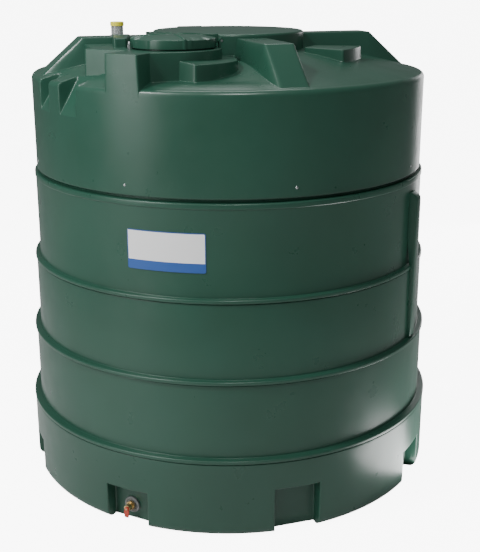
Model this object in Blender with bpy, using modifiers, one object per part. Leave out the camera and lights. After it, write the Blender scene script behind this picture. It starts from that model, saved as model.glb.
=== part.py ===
"""Bunded vertical oil storage tank: a moulded polyethylene tank standing in its own outer bund.

The tank stands on the XY plane with its axis on Z. Azimuths are in degrees, measured round the
axis as seen from above, and azimuth 0 is the tank's front, which faces -Y. Azimuth 90 faces +X.
All lengths are metres.
"""

import math

import bmesh
import bpy
from mathutils import Matrix, Vector

# Wall bands, from the ground up. Each band stands a little further out than the one above it.
WALL_THICKNESS = 0.012
BASE_RADIUS = 1.225
LOWER_RADIUS = 1.189
MIDDLE_RADIUS = 1.165
UPPER_RADIUS = 1.142
TOP_RADIUS = 1.132
BASE_TOP_Z = 0.427
LOWER_TOP_Z = 0.864
MIDDLE_TOP_Z = 1.300
UPPER_TOP_Z = 1.817
FOOT_ROUNDING = 0.045
BASE_FLANGE_INNER = 1.120

# Hoops between the bands.
HOOP_HEIGHT = 0.025
HOOP_ROUNDING = 0.005
BASE_HOOP_RADIUS = 1.228
LOWER_HOOP_RADIUS = 1.199
MIDDLE_HOOP_RADIUS = 1.171
BUND_LIP_RADIUS = 1.146
BUND_LIP_HEIGHT = 0.030

# The weather cover: its wall, its rim and its domed roof.
COVER_BOTTOM_Z = 1.836
SKIRT_INSET = 0.014
BUND_FLANGE_INNER = 1.100
COVER_TOP_Z = 2.339
RIM_ROUNDING = 0.030
ROOF_SEAM = 0.0015
RIM_ARC_SHARE = 0.75
ROOF_RADII = (0.405, 0.4365, 0.448, 0.600, 0.750, 0.935, 1.040)
DOME_APEX_Z = 2.508
DOME_FALL = 0.115
TURRET_RADIUS = 0.4355
TURRET_TOP_Z = 2.588
TURRET_ROUNDING = 0.014
TURRET_SEAT = 0.005

# Recessed floor round the hatch: (radius, z) points of its section, and where it starts and ends.
FLOOR_SECTION = ((0.400, 2.463), (0.750, 2.4155), (0.935, 2.3905), (1.040, 2.387), (1.102, 2.366))
FLOOR_END = -14.0
FLOOR_BLEND = 8.0
LEDGE_START = -60.0
LEDGE_END = -45.0
LEDGE_Z = 2.420
LEDGE_FALL = 0.338

# Four ribs run from the turret to the rim.
RIB_TOP_Z = 2.566
RIB_TOP_END = 0.863
RIB_FOOT_END = 1.090
RIB_FOOT_Z = 2.371
RIB_TOP_HALF = 0.082
RIB_FOOT_HALF = 0.112
RIB_BOTTOM_Z = 2.360
RIB_START = 0.400
RIB_AZIMUTHS = (("front", 0.0), ("right", 90.0), ("rear", 180.0), ("left", -90.0))

# Hatch, its plinth and its lid.
HATCH_X = -0.457
HATCH_Y = -0.503
NECK_X = -0.500
NECK_Y = -0.485
NECK_RADIUS = 0.300
PLINTH_AZIMUTH = -45.0
PLINTH_TOP_Z = 2.531
PLINTH_LEFT = 0.355
PLINTH_LEFT_X = -0.852
PLINTH_FRONT = 0.931
PLINTH_BACK = 0.800
PLINTH_RIGHT = -0.300
PLINTH_NOSE_HALF = 0.095
NOTCH_INNER = 1.090
MOUTH_RADIUS = 0.180
COAMING_OUTER = 0.195
COAMING_TOP_Z = 2.562
LID_RADIUS = 0.225
LID_SKIRT_Z = 2.5375
LID_EDGE_Z = 2.5786
LID_TOP_Z = 2.602
LID_TOP_RADIUS = 0.150
LID_THICKNESS = 0.012
LID_ROUNDING = 0.006
HINGE_X = -0.2095
HINGE_Z = 2.566
HINGE_PIN_RADIUS = 0.006
HINGE_KNUCKLE_RADIUS = 0.014
HINGE_LENGTH = 0.110
LID_KNUCKLE_HALF = 0.030
BRACKET_INNER = 0.033
RUNNING_GAP = 0.001

# Lock bar beside the lid.
LOCK_BAR_OUTLINE = ((-0.757, -0.435), (-0.689, -0.435), (-0.595, -0.060), (-0.695, -0.060))
LOCK_BAR_TOP_Z = 2.574
STAPLE_X = -0.697
STAPLE_Y = -0.526
STAPLE_WIDTH = 0.036
STAPLE_THICKNESS = 0.007
STAPLE_TOP_Z = 2.572

# Float gauge on the left rib.
GAUGE_X = -0.650
GAUGE_RADIUS = 0.034
GAUGE_WALL = 0.003
GAUGE_CAP_RADIUS = 0.038
GAUGE_CAP_Z = 2.621
GAUGE_TOP_Z = 2.644

# Low steps on the roof: one round the hatch's neck, one over the front right corner.
HATCH_STEP_START = 8.4
HATCH_STEP_END = 60.0
HATCH_STEP_OUTER = 0.391
HATCH_STEP_BACK = ((-0.112, -0.449), (-0.300, -0.400), (-0.533, -0.734))
HATCH_STEP_TOP_Z = 2.480
ROOF_STEP_START = 36.3
ROOF_STEP_END = 60.0
ROOF_STEP_OUTER = 0.770
ROOF_STEP_INNER = 0.505
ROOF_STEP_SKEW = 3.7
ROOF_STEP_TOP_Z = 2.507

# Solid shoulder at the left, with two pockets and the buttress between them.
SHOULDER_START = -90.0
SHOULDER_END = -60.0
SHOULDER_INNER = 0.935
SHOULDER_BOTTOM_Z = 2.150
POCKET_TOP_Z = 2.3915
POCKET_BOTTOM_Z = 2.200
FIRST_POCKET_START = -80.8
SECOND_POCKET_END = -60.8
POCKET_INNER = 1.008
BUTTRESS_START = -74.3
BUTTRESS_END = -68.3

# Lift slots in the foot of the base.
SLOT_HALF = 0.128
SLOT_BACK = 1.146
SLOT_LOW_Z = 0.214
SLOT_HIGH_Z = 0.268

# Upright channel on the right and the plate on the front.
CHANNEL_FACET = 45.0
CHANNEL_START = 43.9
CHANNEL_END = 47.4
CHANNEL_TOP_Z = 1.741
PLATE_START = -44.3
PLATE_END = -23.2
PLATE_BOTTOM_Z = 1.460
PLATE_TOP_Z = 1.667
PLATE_THICKNESS = 0.003

# Outlet valve in the slot at azimuth -45.
VALVE_SLOT = -45.0
VALVE_AZIMUTH = -45.6
VALVE_Z = 0.083
COLLAR_RADIUS = 0.047
COLLAR_DEPTH = 0.012
NUT_RADIUS = 0.027
NUT_DEPTH = 0.014
BODY_RADIUS = 0.019
BODY_DEPTH = 0.034
STEM_RADIUS = 0.006
STEM_LENGTH = 0.009
LEVER_LENGTH = 0.055
LEVER_WIDTH = 0.020

GAP = 0.0003
CLEAR = 0.050
MERGE = 0.00005
HALF_DEGREE = 0.5
STEP_ANGLE = 5.0
FULL_TURN_STEPS = 72
ARC_STEPS = 6
ROUND_SIDES = 64
SECTOR = 45.0
SECTOR_NAMES = ("front", "front_right", "right", "rear_right",
                "rear", "rear_left", "left", "front_left")
QUARTER_NAMES = ("front_right", "rear_right", "rear_left", "front_left")

GREEN = (0.028, 0.105, 0.066)
PALE_GREY = (0.72, 0.74, 0.74)
YELLOW = (0.90, 0.80, 0.10)
WHITE = (0.85, 0.86, 0.87)
STEEL = (0.56, 0.57, 0.58)
GREY = (0.22, 0.23, 0.23)
BRASS = (0.75, 0.58, 0.30)
RED = (0.62, 0.07, 0.03)


def clear_scene():
    for old in list(bpy.data.objects):
        bpy.data.objects.remove(old, do_unlink=True)


def new_collection(name):
    collection = bpy.data.collections.new(name)
    bpy.context.scene.collection.children.link(collection)
    return collection


def finish_material(name, colour, roughness, metallic=0.0):
    """A Principled material with one colour, roughness and metallic value."""
    material = bpy.data.materials.get(name) or bpy.data.materials.new(name)
    material.use_nodes = True
    shader = material.node_tree.nodes["Principled BSDF"]
    shader.inputs["Base Color"].default_value = (*colour, 1.0)
    shader.inputs["Roughness"].default_value = roughness
    shader.inputs["Metallic"].default_value = metallic
    return material


def polar(radius, azimuth, z=0.0):
    """The point at a radius and an azimuth in degrees, measured from -Y towards +X."""
    angle = math.radians(azimuth)
    return Vector((radius * math.sin(angle), -radius * math.cos(angle), z))


def in_plan(out, side, azimuth):
    """The (x, y) point some way out along an azimuth and some way to its right."""
    along = polar(out, azimuth)
    across = polar(side, azimuth + 90)
    return (along.x + across.x, along.y + across.y)


def mesh_object(name, shape, collection, material=None):
    """Turns a bmesh into a named object with smooth faces and sharp corners."""
    bmesh.ops.recalc_face_normals(shape, faces=shape.faces)
    mesh = bpy.data.meshes.new(name)
    shape.to_mesh(mesh)
    shape.free()
    mesh.shade_smooth()
    mesh.set_sharp_from_angle(angle=math.radians(30))
    obj = bpy.data.objects.new(name, mesh)
    if material:
        mesh.materials.append(material)
    collection.objects.link(obj)
    return obj


def arc_points(centre, radius, start, end, steps):
    """Points on a circular arc in the (radius, z) plane, angles in degrees from +r to +z."""
    points = []
    for i in range(steps + 1):
        angle = math.radians(start + (end - start) * i / steps)
        points.append((centre[0] + radius * math.cos(angle), centre[1] + radius * math.sin(angle)))
    return points


def turned_sector(name, profile, start, end, phase, collection, material=None, trim=GAP / 2):
    """The (radius, z) outline swept round Z between two azimuths, with its facets in phase.

    The sweep runs from the facet corner before the start to the one after the end, and is then
    cut to length, so that concentric pieces with the same phase have parallel facets.
    """
    first = math.floor((start - phase) / STEP_ANGLE) * STEP_ANGLE + phase
    last = math.ceil((end - phase) / STEP_ANGLE) * STEP_ANGLE + phase
    shape = bmesh.new()
    face = shape.faces.new([shape.verts.new(polar(radius, first, z)) for radius, z in profile])
    bmesh.ops.spin(shape, geom=[face, *face.edges, *face.verts], axis=(0, 0, 1), cent=(0, 0, 0),
                   steps=round((last - first) / STEP_ANGLE), angle=math.radians(last - first),
                   use_duplicate=False)
    for azimuth, inwards in ((start, 1), (end, -1)):
        across = polar(inwards, azimuth + 90)
        bmesh.ops.bisect_plane(shape, geom=[*shape.verts, *shape.edges, *shape.faces],
                               plane_co=across * trim, plane_no=across, clear_inner=True)
        bmesh.ops.holes_fill(shape, edges=[edge for edge in shape.edges if edge.is_boundary])
    return mesh_object(name, shape, collection, material)


def turned_ring(name, profile, centre, collection, material=None, steps=48):
    """A full turn of a closed (radius, z) outline about an upright axis, by a Screw modifier."""
    shape = bmesh.new()
    corners = [shape.verts.new((radius, 0, z)) for radius, z in profile]
    for first, second in zip(corners, corners[1:] + corners[:1]):
        shape.edges.new((first, second))
    mesh = bpy.data.meshes.new(name)
    shape.to_mesh(mesh)
    shape.free()
    obj = bpy.data.objects.new(name, mesh)
    obj.location = centre
    if material:
        mesh.materials.append(material)
    collection.objects.link(obj)
    screw = obj.modifiers.new("Turn", "SCREW")
    screw.steps = steps
    screw.render_steps = steps
    screw.use_merge_vertices = True
    screw.merge_threshold = 0.0001
    return obj


def turned_solid(name, profile, centre, collection, material=None, steps=48, first=0.0):
    """A full turn of an outline that starts and ends on the axis, from a first azimuth."""
    shape = bmesh.new()
    corners = [shape.verts.new(polar(radius, first, z)) for radius, z in profile]
    edges = [shape.edges.new(pair) for pair in zip(corners, corners[1:])]
    bmesh.ops.spin(shape, geom=[*corners, *edges], axis=(0, 0, 1), cent=(0, 0, 0),
                   steps=steps, angle=math.tau, use_duplicate=False)
    bmesh.ops.remove_doubles(shape, verts=shape.verts, dist=MERGE)
    obj = mesh_object(name, shape, collection, material)
    obj.location = centre
    return obj


def prism(name, outline, bottom, top, collection, material=None):
    """A flat (x, y) outline raised from one height to another."""
    shape = bmesh.new()
    face = shape.faces.new([shape.verts.new((x, y, bottom)) for x, y in outline])
    raised = bmesh.ops.extrude_face_region(shape, geom=[face])
    corners = [item for item in raised["geom"] if isinstance(item, bmesh.types.BMVert)]
    bmesh.ops.translate(shape, verts=corners, vec=(0, 0, top - bottom))
    return mesh_object(name, shape, collection, material)


def block(name, low, high, collection, material=None, azimuth=0.0):
    """A box between two corners, turned about Z to an azimuth."""
    shape = bmesh.new()
    bmesh.ops.create_cube(shape, size=1.0)
    size = Vector(high) - Vector(low)
    middle = (Vector(high) + Vector(low)) / 2
    bmesh.ops.scale(shape, vec=size, verts=shape.verts)
    bmesh.ops.translate(shape, vec=middle, verts=shape.verts)
    bmesh.ops.rotate(shape, cent=(0, 0, 0), verts=shape.verts,
                     matrix=Matrix.Rotation(math.radians(azimuth), 3, "Z"))
    return mesh_object(name, shape, collection, material)


def round_bar(name, radius, start, end, collection, material=None, sides=24):
    """A cylinder from one point to another."""
    shape = bmesh.new()
    along = Vector(end) - Vector(start)
    bmesh.ops.create_cone(shape, cap_ends=True, segments=sides, radius1=radius, radius2=radius,
                          depth=along.length)
    turn = along.to_track_quat("Z", "Y").to_matrix()
    bmesh.ops.rotate(shape, cent=(0, 0, 0), verts=shape.verts, matrix=turn)
    bmesh.ops.translate(shape, vec=(Vector(start) + Vector(end)) / 2, verts=shape.verts)
    return mesh_object(name, shape, collection, material)


def combine(target, other, operation):
    """A Boolean modifier on the target. The other object is kept as a hidden helper."""
    other.hide_render = True
    other.display_type = "WIRE"
    modifier = target.modifiers.new(other.name, "BOOLEAN")
    modifier.object = other
    modifier.operation = operation
    modifier.solver = "EXACT"


def slot_top(index):
    return SLOT_HIGH_Z if index % 4 == 0 else SLOT_LOW_Z


def make_bund_floor(parts, green):
    """A flat disc inside the foot's flange, its facets in step with the base sectors'."""
    edge = BASE_FLANGE_INNER - GAP
    turned_solid("bund_floor", [(0, WALL_THICKNESS), (edge, WALL_THICKNESS), (edge, 0), (0, 0)],
                 (0, 0, 0), parts, green, FULL_TURN_STEPS, first=STEP_ANGLE / 2)


def make_base_sectors(parts, cutters, green):
    """Foot band in eight sectors, each with a lift slot pressed into it and the hoop on top."""
    inner = BASE_RADIUS - WALL_THICKNESS
    foot = arc_points((BASE_RADIUS - FOOT_ROUNDING, FOOT_ROUNDING), FOOT_ROUNDING, -90, 0, 3)
    hoop_top = BASE_TOP_Z + HOOP_HEIGHT
    profile = [(BASE_FLANGE_INNER, 0), *foot, (BASE_HOOP_RADIUS, BASE_TOP_Z),
               (BASE_HOOP_RADIUS, hoop_top - HOOP_ROUNDING),
               (BASE_HOOP_RADIUS - HOOP_ROUNDING, hoop_top),
               (LOWER_RADIUS - WALL_THICKNESS, hoop_top),
               (LOWER_RADIUS - WALL_THICKNESS, hoop_top - WALL_THICKNESS),
               (inner, BASE_TOP_Z - WALL_THICKNESS), (inner, FOOT_ROUNDING),
               (BASE_RADIUS - FOOT_ROUNDING, WALL_THICKNESS), (BASE_FLANGE_INNER, WALL_THICKNESS)]
    for index, name in enumerate(SECTOR_NAMES):
        azimuth = index * SECTOR
        sector = turned_sector("base_" + name, profile, azimuth - SECTOR / 2,
                               azimuth + SECTOR / 2, STEP_ANGLE / 2, parts, green)
        top = slot_top(index)
        pocket = block("pocket_" + name,
                       (-SLOT_HALF - WALL_THICKNESS, -BASE_RADIUS + WALL_THICKNESS / 2, 0),
                       (SLOT_HALF + WALL_THICKNESS, -SLOT_BACK + WALL_THICKNESS,
                        top + WALL_THICKNESS), cutters, azimuth=azimuth)
        slot = block("slot_" + name, (-SLOT_HALF, -BASE_RADIUS - CLEAR, -CLEAR),
                     (SLOT_HALF, -SLOT_BACK, top), cutters, azimuth=azimuth)
        combine(sector, pocket, "UNION")
        combine(sector, slot, "DIFFERENCE")


def make_wall_sectors(parts, green):
    """The bund's wall above the foot: eight sectors with two hoops, and a flange at the top."""
    thin = WALL_THICKNESS
    start = BASE_TOP_Z + HOOP_HEIGHT + GAP
    lower_top = LOWER_TOP_Z + HOOP_HEIGHT
    middle_top = MIDDLE_TOP_Z + HOOP_HEIGHT
    lip_start = UPPER_TOP_Z - BUND_LIP_HEIGHT
    profile = [(LOWER_RADIUS - thin, start), (LOWER_RADIUS, start),
               (LOWER_RADIUS, LOWER_TOP_Z), (LOWER_HOOP_RADIUS, LOWER_TOP_Z),
               (LOWER_HOOP_RADIUS, lower_top - HOOP_ROUNDING),
               (LOWER_HOOP_RADIUS - HOOP_ROUNDING, lower_top),
               (MIDDLE_RADIUS, lower_top), (MIDDLE_RADIUS, MIDDLE_TOP_Z),
               (MIDDLE_HOOP_RADIUS, MIDDLE_TOP_Z),
               (MIDDLE_HOOP_RADIUS, middle_top - HOOP_ROUNDING),
               (UPPER_RADIUS, middle_top), (UPPER_RADIUS, lip_start),
               (BUND_LIP_RADIUS, lip_start + HOOP_ROUNDING),
               (BUND_LIP_RADIUS, UPPER_TOP_Z), (BUND_FLANGE_INNER, UPPER_TOP_Z),
               (BUND_FLANGE_INNER, UPPER_TOP_Z - thin), (UPPER_RADIUS - thin, UPPER_TOP_Z - thin),
               (UPPER_RADIUS - thin, middle_top - thin), (MIDDLE_RADIUS - thin, middle_top - thin),
               (MIDDLE_RADIUS - thin, lower_top - thin), (LOWER_RADIUS - thin, lower_top - thin)]
    for index, name in enumerate(SECTOR_NAMES):
        azimuth = index * SECTOR
        turned_sector("wall_" + name, profile, azimuth - SECTOR / 2, azimuth + SECTOR / 2,
                      STEP_ANGLE / 2, parts, green)


def make_cover_walls(parts, cutters, green):
    """The weather cover's upright wall in four quarters; a skirt rests on the bund's flange."""
    thin = WALL_THICKNESS
    skirt = TOP_RADIUS - SKIRT_INSET
    profile = [(TOP_RADIUS, COVER_BOTTOM_Z), (TOP_RADIUS, COVER_TOP_Z),
               (TOP_RADIUS - thin, COVER_TOP_Z), (TOP_RADIUS - thin, COVER_BOTTOM_Z + thin),
               (skirt - thin, COVER_BOTTOM_Z + thin), (skirt - thin, UPPER_TOP_Z + GAP),
               (skirt, UPPER_TOP_Z + GAP), (skirt, COVER_BOTTOM_Z)]
    for index, name in enumerate(QUARTER_NAMES):
        wall = turned_sector("cover_wall_" + name, profile, index * 90.0, index * 90.0 + 90,
                             0, parts, green)
        if name == "front_left":
            notch = turned_sector("shoulder_notch", [
                (SHOULDER_INNER, SHOULDER_BOTTOM_Z - GAP), (BASE_RADIUS, SHOULDER_BOTTOM_Z - GAP),
                (BASE_RADIUS, LID_TOP_Z), (SHOULDER_INNER, LID_TOP_Z)],
                SHOULDER_START - STEP_ANGLE, SHOULDER_END, 0, cutters, trim=-GAP)
            combine(wall, notch, "DIFFERENCE")


def floor_height(radius):
    """Height of the recessed floor, on straight lines between the points of its section."""
    for (inner, high), (outer, low) in zip(FLOOR_SECTION, FLOOR_SECTION[1:]):
        if radius <= outer:
            break
    return high + (low - high) * (radius - inner) / (outer - inner)


def roof_height(radius, azimuth):
    """Height of the outer roof: a paraboloid, with the recessed floor and the ledge by the hatch."""
    dome = DOME_APEX_Z - DOME_FALL * radius * radius
    if radius < TURRET_RADIUS + GAP + TURRET_SEAT:
        return dome
    if LEDGE_START - HALF_DEGREE < azimuth <= LEDGE_END + HALF_DEGREE:
        ledge = LEDGE_Z - LEDGE_FALL * (radius - PLINTH_FRONT)
        return ledge if radius > PLINTH_FRONT else min(dome, ledge)
    if azimuth < LEDGE_START or azimuth > FLOOR_END + FLOOR_BLEND:
        return dome
    floor = floor_height(radius)
    share = min(1.0, (FLOOR_END + FLOOR_BLEND - azimuth) / FLOOR_BLEND)
    share = share * share * (3 - 2 * share)
    return dome + (min(dome, floor) - dome) * share


def roof_section():
    """The roof's section: each point's radius, and how far down the rim it lies, 0 to -1."""
    rows = [(radius, 0.0) for radius in ROOF_RADII]
    for angle in (30, 60, 90):
        turn = math.radians(angle)
        rows.append((TOP_RADIUS - RIM_ROUNDING * (1 - math.sin(turn)),
                     -RIM_ARC_SHARE * (1 - math.cos(turn))))
    rows.append((TOP_RADIUS, -1.0))
    return rows


def roof_sheet(start, end, bottom):
    """The roof's outer surface between two azimuths, as an open sheet of flat facets."""
    shape = bmesh.new()
    corners = [shape.verts.new(polar(radius, start, depth)) for radius, depth in roof_section()]
    edges = [shape.edges.new(pair) for pair in zip(corners, corners[1:])]
    bmesh.ops.spin(shape, geom=[*corners, *edges], axis=(0, 0, 1), cent=(0, 0, 0),
                   steps=round((end - start) / STEP_ANGLE), angle=math.radians(end - start),
                   use_duplicate=False)
    bmesh.ops.remove_doubles(shape, verts=shape.verts, dist=MERGE)
    for corner in shape.verts:
        azimuth = math.degrees(math.atan2(corner.co.x, -corner.co.y))
        radius = min(math.hypot(corner.co.x, corner.co.y), TOP_RADIUS - RIM_ROUNDING)
        height = roof_height(radius, azimuth)
        if corner.co.z > -1.0:
            corner.co.z = height + corner.co.z * (height - COVER_TOP_Z - GAP)
        else:
            corner.co.z = bottom
    bmesh.ops.triangulate(shape, faces=shape.faces, quad_method="SHORT_EDGE")
    return shape


def make_roof_quarters(parts, cutters, mouth, green):
    """The domed roof in four quarters, open under the turret, with the hatch's mouth cut out."""
    trim = math.degrees(ROOF_SEAM / TOP_RADIUS) / 2
    for index, name in enumerate(QUARTER_NAMES):
        start = index * 90.0 + trim if index < 2 else index * 90.0 - 360 + trim
        shape = roof_sheet(start, start + 90 - 2 * trim, COVER_TOP_Z + GAP)
        if name == "front_left":
            under_shoulder = [face for face in shape.faces if in_shoulder(face)]
            bmesh.ops.delete(shape, geom=under_shoulder, context="FACES")
        quarter = mesh_object("roof_" + name, shape, parts, green)
        if quarter.data.polygons[0].normal.z < 0:
            quarter.data.flip_normals()
        shell = quarter.modifiers.new("Thickness", "SOLIDIFY")
        shell.thickness = WALL_THICKNESS
        shell.offset = -1.0
        shell.use_even_offset = True
        if name == "front_left":
            notch = block("nose_notch",
                          (-PLINTH_NOSE_HALF - GAP, -TOP_RADIUS - CLEAR, COVER_TOP_Z - CLEAR),
                          (PLINTH_NOSE_HALF + GAP, -NOTCH_INNER + GAP, PLINTH_TOP_Z),
                          cutters, azimuth=PLINTH_AZIMUTH)
            combine(quarter, notch, "DIFFERENCE")
            combine(quarter, mouth, "DIFFERENCE")


def in_shoulder(face):
    middle = face.calc_center_median()
    azimuth = math.degrees(math.atan2(middle.x, -middle.y))
    return azimuth < SHOULDER_END and math.hypot(middle.x, middle.y) > SHOULDER_INNER


def make_roof_form(cutters):
    """A solid under the roof's surface, lifted by the gap, which trims what stands on the roof."""
    shape = roof_sheet(-180.0, 180.0, COVER_TOP_Z - CLEAR)
    bmesh.ops.holes_fill(shape, edges=[edge for edge in shape.edges if edge.is_boundary])
    bmesh.ops.translate(shape, vec=(0, 0, GAP), verts=shape.verts)
    form = mesh_object("roof_form", shape, cutters)
    notch = block("nose_form", (-PLINTH_NOSE_HALF - CLEAR, -TOP_RADIUS - CLEAR, 0),
                  (PLINTH_NOSE_HALF + CLEAR, -NOTCH_INNER, PLINTH_TOP_Z),
                  cutters, azimuth=PLINTH_AZIMUTH)
    combine(form, notch, "DIFFERENCE")
    return form


def rib_shape(name, azimuth, growth, collection, material=None):
    """A rib with drafted sides: a side outline in (radius, z), spread to its width by height."""
    shape = bmesh.new()
    fall = (RIB_TOP_Z - RIB_FOOT_Z) / (RIB_FOOT_END - RIB_TOP_END)
    end = RIB_FOOT_END + (RIB_FOOT_Z - RIB_BOTTOM_Z) / fall
    outline = [(RIB_START, RIB_BOTTOM_Z), (end + growth, RIB_BOTTOM_Z),
               (RIB_TOP_END + growth, RIB_TOP_Z + growth), (RIB_START, RIB_TOP_Z + growth)]
    face = shape.faces.new([shape.verts.new((-1, -radius, z)) for radius, z in outline])
    raised = bmesh.ops.extrude_face_region(shape, geom=[face])
    corners = [item for item in raised["geom"] if isinstance(item, bmesh.types.BMVert)]
    bmesh.ops.translate(shape, verts=corners, vec=(2, 0, 0))
    draft = (RIB_FOOT_HALF - RIB_TOP_HALF) / (RIB_TOP_Z - RIB_FOOT_Z)
    for corner in shape.verts:
        corner.co.x *= RIB_TOP_HALF + growth + draft * (RIB_TOP_Z - corner.co.z)
    bmesh.ops.rotate(shape, cent=(0, 0, 0), verts=shape.verts,
                     matrix=Matrix.Rotation(math.radians(azimuth), 3, "Z"))
    return mesh_object(name, shape, collection, material)


def make_ribs(parts, roof_form, turret_form, left_forms, green):
    """Four ribs from the turret to the rim. The left one ends at the shoulder's first pocket."""
    for name, azimuth in RIB_AZIMUTHS:
        rib = rib_shape("rib_" + name, azimuth, 0.0, parts, green)
        combine(rib, roof_form, "DIFFERENCE")
        combine(rib, turret_form, "DIFFERENCE")
        if name == "left":
            for form in left_forms:
                combine(rib, form, "DIFFERENCE")


def make_turret(parts, cutters, green):
    """A hollow cap over the middle of the roof, and the form that clears its wall."""
    inner = TURRET_RADIUS - WALL_THICKNESS
    foot = DOME_APEX_Z - DOME_FALL * inner * inner + GAP
    under = TURRET_TOP_Z - WALL_THICKNESS
    edge = arc_points((TURRET_RADIUS - TURRET_ROUNDING, TURRET_TOP_Z - TURRET_ROUNDING),
                      TURRET_ROUNDING, 90, 0, 3)
    turned_solid("roof_turret", [(0, TURRET_TOP_Z), *edge, (TURRET_RADIUS, foot), (inner, foot),
                                 (inner, under), (0, under)],
                 (0, 0, 0), parts, green, FULL_TURN_STEPS)
    radius = TURRET_RADIUS + GAP
    return turned_solid("turret_form", [(0, LID_TOP_Z), (radius, LID_TOP_Z), (radius, UPPER_TOP_Z),
                                        (0, UPPER_TOP_Z)],
                        (0, 0, 0), cutters, steps=FULL_TURN_STEPS)


def make_hatch_plinth(parts, cutters, forms, green):
    """The raised block under the hatch: set-back front, nose flush with the wall, round neck.

    The neck's front is flat on its left half, up to the nose.
    """
    nose_edge = TOP_RADIUS - PLINTH_NOSE_HALF * math.tan(math.radians(STEP_ANGLE / 2))
    front = [(PLINTH_FRONT, -PLINTH_LEFT), (PLINTH_FRONT, -PLINTH_NOSE_HALF),
             (nose_edge, -PLINTH_NOSE_HALF), (TOP_RADIUS, 0.0), (nose_edge, PLINTH_NOSE_HALF),
             (PLINTH_BACK, PLINTH_NOSE_HALF)]
    outline = [in_plan(out, side, PLINTH_AZIMUTH) for out, side in front]
    outline += [(PLINTH_RIGHT, PLINTH_RIGHT), (PLINTH_RIGHT, -RIB_TOP_HALF),
                (PLINTH_LEFT_X, -RIB_TOP_HALF)]
    plinth = prism("hatch_plinth", outline, COVER_TOP_Z + GAP, PLINTH_TOP_Z, parts, green)
    neck = round_bar("neck", NECK_RADIUS, (NECK_X, NECK_Y, COVER_TOP_Z + GAP),
                     (NECK_X, NECK_Y, PLINTH_TOP_Z), cutters, sides=ROUND_SIDES)
    neck_front = block("neck_front", (NECK_X - NECK_RADIUS / 2, NECK_Y - NECK_RADIUS,
                                      COVER_TOP_Z + GAP), (NECK_X, NECK_Y, PLINTH_TOP_Z), cutters)
    combine(plinth, neck, "UNION")
    combine(plinth, neck_front, "UNION")
    for form in forms:
        combine(plinth, form, "DIFFERENCE")


def make_hatch_coaming(parts, green):
    """The upstand round the mouth, on which the lid seats."""
    bottom = PLINTH_TOP_Z + GAP
    turned_ring("hatch_coaming", [(COAMING_OUTER, COAMING_TOP_Z), (COAMING_OUTER, bottom),
                                  (MOUTH_RADIUS, bottom), (MOUTH_RADIUS, COAMING_TOP_Z)],
                (HATCH_X, HATCH_Y, 0), parts, green)


def make_hatch_lid(parts, cutters, green):
    """A shallow skirted lid, its origin on the hinge's axis, with its knuckle and arm."""
    pivot = Vector((HINGE_X, HATCH_Y, HINGE_Z))
    middle = (HATCH_X - pivot.x, 0.0)
    seat = COAMING_TOP_Z + GAP - pivot.z
    top = LID_TOP_Z - pivot.z
    edge = LID_EDGE_Z - pivot.z
    skirt = LID_SKIRT_Z - pivot.z
    inner = LID_RADIUS - LID_THICKNESS
    outline = [(0, top), (LID_TOP_RADIUS, top), (LID_RADIUS - LID_ROUNDING, edge),
               (LID_RADIUS, edge - LID_ROUNDING), (LID_RADIUS, skirt), (inner, skirt),
               (inner, seat), (MOUTH_RADIUS - LID_THICKNESS, seat),
               (LID_TOP_RADIUS - LID_THICKNESS, top - LID_THICKNESS), (0, top - LID_THICKNESS)]
    lid = turned_solid("hatch_lid", outline, (0, 0, 0), parts, green)
    lid.data.transform(Matrix.Translation((*middle, 0)))
    lid.location = pivot
    knuckle = round_bar("lid_knuckle", HINGE_KNUCKLE_RADIUS,
                        pivot - Vector((0, LID_KNUCKLE_HALF, 0)),
                        pivot + Vector((0, LID_KNUCKLE_HALF, 0)), cutters)
    arm = block("lid_arm", (HATCH_X + inner, HATCH_Y - LID_KNUCKLE_HALF, HINGE_Z),
                (HINGE_X, HATCH_Y + LID_KNUCKLE_HALF, LID_EDGE_Z - LID_ROUNDING), cutters)
    bore = round_bar("lid_bore", HINGE_PIN_RADIUS + RUNNING_GAP,
                     pivot - Vector((0, HINGE_LENGTH, 0)),
                     pivot + Vector((0, HINGE_LENGTH, 0)), cutters)
    combine(lid, knuckle, "UNION")
    combine(lid, arm, "UNION")
    combine(lid, bore, "DIFFERENCE")


def make_hatch_hinge(parts, cutters, green, steel):
    """Two fixed knuckles on legs from the plinth, and the pin through them."""
    half = HINGE_LENGTH / 2
    bore = round_bar("pin_bore", HINGE_PIN_RADIUS + GAP,
                     (HINGE_X, HATCH_Y - HINGE_LENGTH, HINGE_Z),
                     (HINGE_X, HATCH_Y + HINGE_LENGTH, HINGE_Z), cutters)
    for name, low, high in (("front", -half, -BRACKET_INNER), ("rear", BRACKET_INNER, half)):
        leg = block("hinge_bracket_" + name,
                    (HINGE_X - HINGE_KNUCKLE_RADIUS, HATCH_Y + low, PLINTH_TOP_Z + GAP),
                    (HINGE_X - HINGE_PIN_RADIUS / 2, HATCH_Y + high, HINGE_Z), parts, green)
        knuckle = round_bar("knuckle_" + name, HINGE_KNUCKLE_RADIUS,
                            (HINGE_X, HATCH_Y + low, HINGE_Z),
                            (HINGE_X, HATCH_Y + high, HINGE_Z), cutters)
        combine(leg, knuckle, "UNION")
        combine(leg, bore, "DIFFERENCE")
    round_bar("hinge_pin", HINGE_PIN_RADIUS, (HINGE_X, HATCH_Y - half, HINGE_Z),
              (HINGE_X, HATCH_Y + half, HINGE_Z), parts, steel)


def make_lock_bar(parts, rib_form, green):
    """The block beside the lid that runs back to the left rib."""
    bar = prism("lock_bar", LOCK_BAR_OUTLINE, PLINTH_TOP_Z + GAP, LOCK_BAR_TOP_Z, parts, green)
    combine(bar, rib_form, "DIFFERENCE")


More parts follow.
